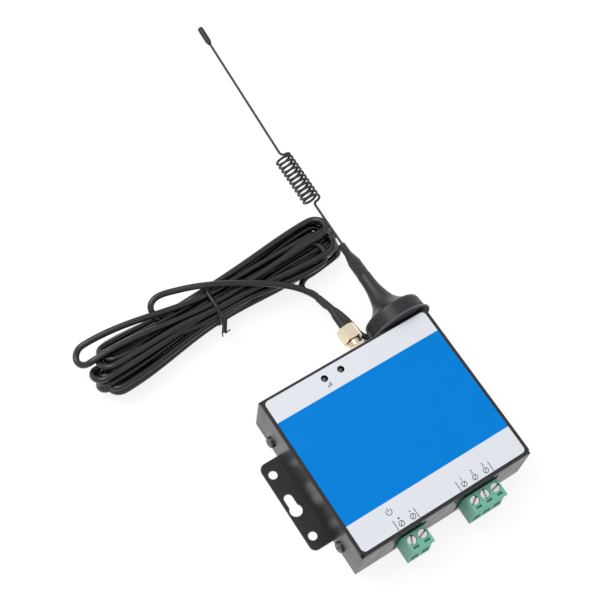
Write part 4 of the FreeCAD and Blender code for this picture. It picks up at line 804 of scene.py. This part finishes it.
# %% [markdown]
# ### Signs on the film
# The signs are solid slips of ink four hundredths of a millimetre thick. Lines are laid as small
# bars by one function. The numbers come from Blender's own font and are made a mesh before they
# are put in place.
# %% Ink lines
INK_HEIGHT = 0.04
INK_WIDTH = 0.28
film_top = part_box("label_sheet")[1][2] / MM
ink_work = bmesh.new()


def ink_line(start, end, width=INK_WIDTH):
    """A bar of ink from one point of the film to another, in millimetres."""
    run = Vector(end) - Vector(start)
    side = Vector((-run.y, run.x)).normalized() * width / 2
    corners = [Vector(start) - side, Vector(end) - side, Vector(end) + side, Vector(start) + side]
    low = [ink_work.verts.new((c.x * MM, c.y * MM, film_top * MM)) for c in corners]
    top = [ink_work.verts.new((c.x * MM, c.y * MM, (film_top + INK_HEIGHT) * MM)) for c in corners]
    ink_work.faces.new(low[::-1])
    ink_work.faces.new(top)
    for index in range(4):
        after = (index + 1) % 4
        ink_work.faces.new((low[index], low[after], top[after], top[index]))


def ink_arc(centre, radius, first, last, parts=20):
    """An open ring of ink between two angles in degrees."""
    spots = []
    for index in range(parts + 1):
        angle = math.radians(first + (last - first) * index / parts)
        spots.append((centre[0] + radius * math.cos(angle), centre[1] + radius * math.sin(angle)))
    for start, end in zip(spots, spots[1:]):
        ink_line(start, end)


# %% Ticks and signs
TICKS_X = (-22.5, -12.7, 7.3, 23.1)
TICK_REAR, TICK_FRONT = -31.0, -35.4
for tick in TICKS_X:
    ink_line((tick, TICK_REAR), (tick, TICK_FRONT))
PLUS, MINUS, SIGN_HALF = (-19.9, -31.3), (-14.7, -31.3), 0.5
ink_line((PLUS[0] - SIGN_HALF, PLUS[1]), (PLUS[0] + SIGN_HALF, PLUS[1]))
ink_line((PLUS[0], PLUS[1] - SIGN_HALF), (PLUS[0], PLUS[1] + SIGN_HALF))
ink_line((MINUS[0] - SIGN_HALF, MINUS[1]), (MINUS[0] + SIGN_HALF, MINUS[1]))
POWER_SIGN, POWER_RADIUS = (-21.7, -27.4), 1.2
POWER_ARC = (125, 415)
POWER_STROKE = 1.4 * POWER_RADIUS
ink_arc(POWER_SIGN, POWER_RADIUS, *POWER_ARC)
ink_line(POWER_SIGN, (POWER_SIGN[0], POWER_SIGN[1] + POWER_STROKE))
SIGNAL_SIGN, SIGNAL_BARS = (-13.3, 27.6), 4
BAR_STEP, BAR_FIRST, BAR_GROWTH, BAR_WIDTH = 0.6, 0.5, 0.45, 0.3
for bar in range(SIGNAL_BARS):
    bar_x = SIGNAL_SIGN[0] + bar * BAR_STEP
    ink_line((bar_x, SIGNAL_SIGN[1]), (bar_x, SIGNAL_SIGN[1] + BAR_FIRST + bar * BAR_GROWTH), BAR_WIDTH)
ink_mesh = bpy.data.meshes.new("ink_signs")
ink_work.to_mesh(ink_mesh)
ink_work.free()
ink_signs = placed("ink_signs", ink_mesh)
ink_mesh.materials.append(ink)
print("ink signs:", len(ink_mesh.polygons), "faces")

# %% Numbers
NUMBERS = {"1": (9.9, -31.1), "2": (15.2, -31.1), "3": (20.5, -31.1)}
NUMBER_HEIGHT = 1.6
FIGURE_SHARE = 0.72      # a figure's height in this font, as a share of the size
number_pieces = []
for word, spot in NUMBERS.items():
    text = bpy.data.curves.new("number_" + word, "FONT")
    text.body = word
    text.size = NUMBER_HEIGHT * MM / FIGURE_SHARE
    text.align_x = "CENTER"
    text.align_y = "CENTER"
    text.extrude = INK_HEIGHT / 2 * MM
    text.resolution_u = 4
    holder = placed("number_" + word, text)
    mesh = as_mesh(holder)
    bpy.data.objects.remove(holder)
    mesh.transform(Matrix.Translation((spot[0] * MM, spot[1] * MM, (film_top + INK_HEIGHT / 2) * MM)))
    mesh.materials.clear()
    mesh.materials.append(ink)
    number_pieces.append(placed("number_" + word, mesh))
print("numbers:", len(number_pieces))

# %% [markdown]
# ## What repeats: Geometry Nodes
# Five screw marks on the film, the thread of the jack and the ridges round the bell's rim all
# repeat by a rule. Geometry Nodes suit this, because the rule stays readable and its sizes are
# named inputs. Each tree ends by making its copies real and giving them their material, and the
# result is kept as a plain mesh.
# %% Tree helpers
def new_tree(name, sizes):
    """A geometry tree with a named input for each size, and the node that gives the inputs."""
    tree = bpy.data.node_groups.new(name, "GeometryNodeTree")
    tree.interface.new_socket("Geometry", in_out="INPUT", socket_type="NodeSocketGeometry")
    for size, kind in sizes.items():
        tree.interface.new_socket(size, in_out="INPUT", socket_type=kind)
    tree.interface.new_socket("Geometry", in_out="OUTPUT", socket_type="NodeSocketGeometry")
    return tree, add(tree, "NodeGroupInput")


def end_tree(tree, geometry, material):
    """Makes the copies real, gives them their material and hands them on."""
    real = add(tree, "GeometryNodeRealizeInstances", {0: geometry})
    finished = add(tree, "GeometryNodeSetMaterial", {0: real.outputs[0], "Material": material})
    add(tree, "NodeGroupOutput", {0: finished.outputs[0]})


def grown(name, mesh, tree, values):
    """Runs a tree on a mesh and keeps the result as a plain mesh object."""
    holder = placed(name + "_seed", mesh)
    modifier = holder.modifiers.new(name, "NODES")
    modifier.node_group = tree
    for item in tree.interface.items_tree:
        if item.in_out == "INPUT" and item.name in values:
            modifier[item.identifier] = values[item.name]
    result = as_mesh(holder)
    result.name = name
    bpy.data.objects.remove(holder)
    print(name + ":", len(result.polygons), "faces")
    return placed(name, result)


# %% Screw marks on the film
POLES_X = (-20.0, -14.7, 9.9, 15.2, 20.5)
POLES_Y = -33.6
MARK_RADIUS, MARK_LINE = 1.1, 0.26
SLOT_ANGLE = 52
tree, given = new_tree("screw_marks", {"Radius": "NodeSocketFloat", "Line": "NodeSocketFloat",
                                       "Height": "NodeSocketFloat"})
ring = add(tree, "GeometryNodeCurvePrimitiveCircle",
           {"Resolution": 28, "Radius": given.outputs["Radius"]})
section = add(tree, "GeometryNodeCurvePrimitiveQuadrilateral",
              {"Width": given.outputs["Line"], "Height": given.outputs["Height"]})
ring_mesh = add(tree, "GeometryNodeCurveToMesh", {0: ring.outputs[0], 1: section.outputs[0]})
across = add(tree, "ShaderNodeMath", {0: given.outputs["Radius"], 1: 2.0}, operation="MULTIPLY")
slot_size = add(tree, "ShaderNodeCombineXYZ",
                {0: across.outputs[0], 1: given.outputs["Line"], 2: given.outputs["Height"]})
slot_bar = add(tree, "GeometryNodeMeshCube", {"Size": slot_size.outputs[0]})
slot_turned = add(tree, "GeometryNodeTransform",
                  {0: slot_bar.outputs[0], "Rotation": (0, 0, math.radians(SLOT_ANGLE))})
mark = add(tree, "GeometryNodeJoinGeometry")
tree.links.new(ring_mesh.outputs[0], mark.inputs[0])
tree.links.new(slot_turned.outputs[0], mark.inputs[0])
marks = add(tree, "GeometryNodeInstanceOnPoints",
            {"Points": given.outputs["Geometry"], "Instance": mark.outputs[0]})
end_tree(tree, marks.outputs[0], ink)
spots = bpy.data.meshes.new("pole_spots")
mark_z = (film_top + INK_HEIGHT / 2) * MM
spots.from_pydata([(x * MM, POLES_Y * MM, mark_z) for x in POLES_X], [], [])
screw_marks = grown("screw_marks", spots, tree,
                    {"Radius": MARK_RADIUS * MM, "Line": MARK_LINE * MM, "Height": INK_HEIGHT * MM})

# %% [markdown]
# The jack's barrel has a fine thread, about 36 turns to the inch, and a short run of it shows
# between the two nuts. A spiral with a four-sided section, edge outwards, is close to the real
# thread's form, and it costs few faces, so the real pitch of 0.7 mm can be kept.
# %% Thread of the jack
THREAD_PITCH = 0.706
THREAD_DEPTH = 0.16
BARREL_RADIUS = 3.1
JACK_X, JACK_Z = 11.0, 12.5
thread_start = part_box("sma_lock_nut")[1][1] / MM
thread_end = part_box("coupling_nut")[0][1] / MM
tree, given = new_tree("jack_thread", {"Turns": "NodeSocketFloat", "Radius": "NodeSocketFloat",
                                       "Length": "NodeSocketFloat", "Ridge": "NodeSocketFloat"})
spiral = add(tree, "GeometryNodeCurveSpiral", {"Resolution": 32, "Rotations": given.outputs["Turns"],
                                               "Start Radius": given.outputs["Radius"],
                                               "End Radius": given.outputs["Radius"],
                                               "Height": given.outputs["Length"]})
ridge = add(tree, "GeometryNodeCurvePrimitiveCircle",
            {"Resolution": 4, "Radius": given.outputs["Ridge"]})
thread = add(tree, "GeometryNodeCurveToMesh",
             {0: spiral.outputs[0], 1: ridge.outputs[0], "Fill Caps": True})
laid = add(tree, "GeometryNodeTransform",
           {0: thread.outputs[0], "Rotation": (math.radians(-90), 0, 0),
            "Translation": (JACK_X * MM, (thread_start + THREAD_DEPTH) * MM, JACK_Z * MM)})
end_tree(tree, laid.outputs[0], gold_plate)
thread_length = thread_end - thread_start - 2 * THREAD_DEPTH
thread_piece = grown("jack_thread", bpy.data.meshes.new("thread_seed"), tree,
                     {"Turns": thread_length / THREAD_PITCH, "Radius": BARREL_RADIUS * MM,
                      "Length": thread_length * MM, "Ridge": THREAD_DEPTH * MM})

# %% [markdown]
# The bell's rim is moulded with low rings that give fingers a hold. One thin ring is placed on
# each of a row of points along the antenna's axis, a little proud of the rim.
# %% Ridges round the bell's rim
BELL_X, BELL_Z = 30.65, 15.0
RIM_RADIUS = 13.35
RIM_DRAFT = 0.3
RIM_HEIGHT = 5.7
RIDGE_SPACING = 0.8
RIDGE_RADIUS = 0.14
rim_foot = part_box("antenna_bell")[0][1] / MM
ridge_count = int(RIM_HEIGHT / RIDGE_SPACING) - 1
tree, given = new_tree("rim_ridges", {"Count": "NodeSocketInt", "Spacing": "NodeSocketFloat",
                                      "Radius": "NodeSocketFloat", "Ridge": "NodeSocketFloat",
                                      "Narrowing": "NodeSocketFloat"})
step = add(tree, "ShaderNodeCombineXYZ", {1: given.outputs["Spacing"]})
row = add(tree, "GeometryNodeMeshLine", {"Count": given.outputs["Count"], "Offset": step.outputs[0]})
circle = add(tree, "GeometryNodeCurvePrimitiveCircle",
             {"Resolution": 96, "Radius": given.outputs["Radius"]})
section = add(tree, "GeometryNodeCurvePrimitiveCircle",
              {"Resolution": 6, "Radius": given.outputs["Ridge"]})
hoop = add(tree, "GeometryNodeCurveToMesh", {0: circle.outputs[0], 1: section.outputs[0]})
stood = add(tree, "GeometryNodeTransform", {0: hoop.outputs[0], "Rotation": (math.radians(90), 0, 0)})
number = add(tree, "GeometryNodeInputIndex")
drawn_in = add(tree, "ShaderNodeMath", {0: number.outputs[0], 1: given.outputs["Narrowing"], 2: 1.0},
               operation="MULTIPLY_ADD")
size = add(tree, "ShaderNodeCombineXYZ", {0: drawn_in.outputs[0], 1: 1.0, 2: drawn_in.outputs[0]})
hoops = add(tree, "GeometryNodeInstanceOnPoints",
            {"Points": row.outputs[0], "Instance": stood.outputs[0], "Scale": size.outputs[0]})
laid = add(tree, "GeometryNodeTransform",
           {0: hoops.outputs[0],
            "Translation": (BELL_X * MM, (rim_foot + RIDGE_SPACING) * MM, BELL_Z * MM)})
end_tree(tree, laid.outputs[0], bell_moulding)
narrowing = -RIM_DRAFT / RIM_HEIGHT * RIDGE_SPACING / RIM_RADIUS
rim_ridges = grown("rim_ridges", bpy.data.meshes.new("ridge_seed"), tree,
                   {"Count": ridge_count, "Spacing": RIDGE_SPACING * MM, "Radius": RIM_RADIUS * MM,
                    "Ridge": RIDGE_RADIUS * MM, "Narrowing": narrowing})

# %% [markdown]
# ## Dressing the CAD parts
# The record names a finish for every node, so one table from those names to the materials above
# dresses them all, and nothing can be forgotten: a name that is missing stops the script.
# %% Dress every node
FINISHES = {
    "case_paint": powder_paint, "label_print": film, "screw_black": black_oxide,
    "board_laminate": board_laminate, "standoff_brass": turned_brass, "plain_steel": rolled_steel,
    "card_plastic": card_stock, "relay_plastic": relay_moulding, "capacitor_sleeve": can_sleeve,
    "lamp_clear": clear_epoxy, "black_plastic": black_moulding, "header_green": header_green,
    "terminal_green": terminal_green, "contact_tin": tinned_bronze, "screw_zinc": zinc_plate,
    "gold_plate": gold_plate, "shrink_sleeve": shrink_sleeve, "cable_jacket": jacket,
    "tie_plastic": tie_vinyl, "pad_rubber": pad_rubber, "base_rubber": skirt_rubber,
    "magnet_steel": magnet_plate, "bell_plastic": bell_moulding, "whip_paint": whip_coat,
}
for part in frame["record"]["subparts"]:
    for place in nodes[part["node"]].material_slots:
        place.material = FINISHES[part["material_slot"]]
# The record gives the sleeve on the whip's neck the same finish as the plain sleeves.
nodes["antenna_neck_sleeve"].material_slots[0].material = neck_sleeve

# %% [markdown]
# ## Joining the pieces to the model
# Most new pieces are attached to the body they move with, and a table names each one's finish.
# The short lead bridges the case and the antenna, which can be lifted off, and its place is baked into
# its mesh.
# %% Ride and replace
tie_mesh.materials.append(tie_vinyl)
tube.materials.clear()
tube.materials.append(jacket)
cable.data.materials.append(jacket)
PIECES = {
    cable: "cable_jacket", twist_tie: "tie_plastic", ink_signs: "label_print",
    screw_marks: "label_print", thread_piece: "gold_plate",
}
for piece, finish_name in PIECES.items():
    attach(piece, "case")
for number in number_pieces:
    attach(number, "case")
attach(rim_ridges, "antenna")
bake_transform(antenna_lead)
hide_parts("cable_to_plug", "cable_hank")
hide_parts("cable_to_antenna")
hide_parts("hank_tie")
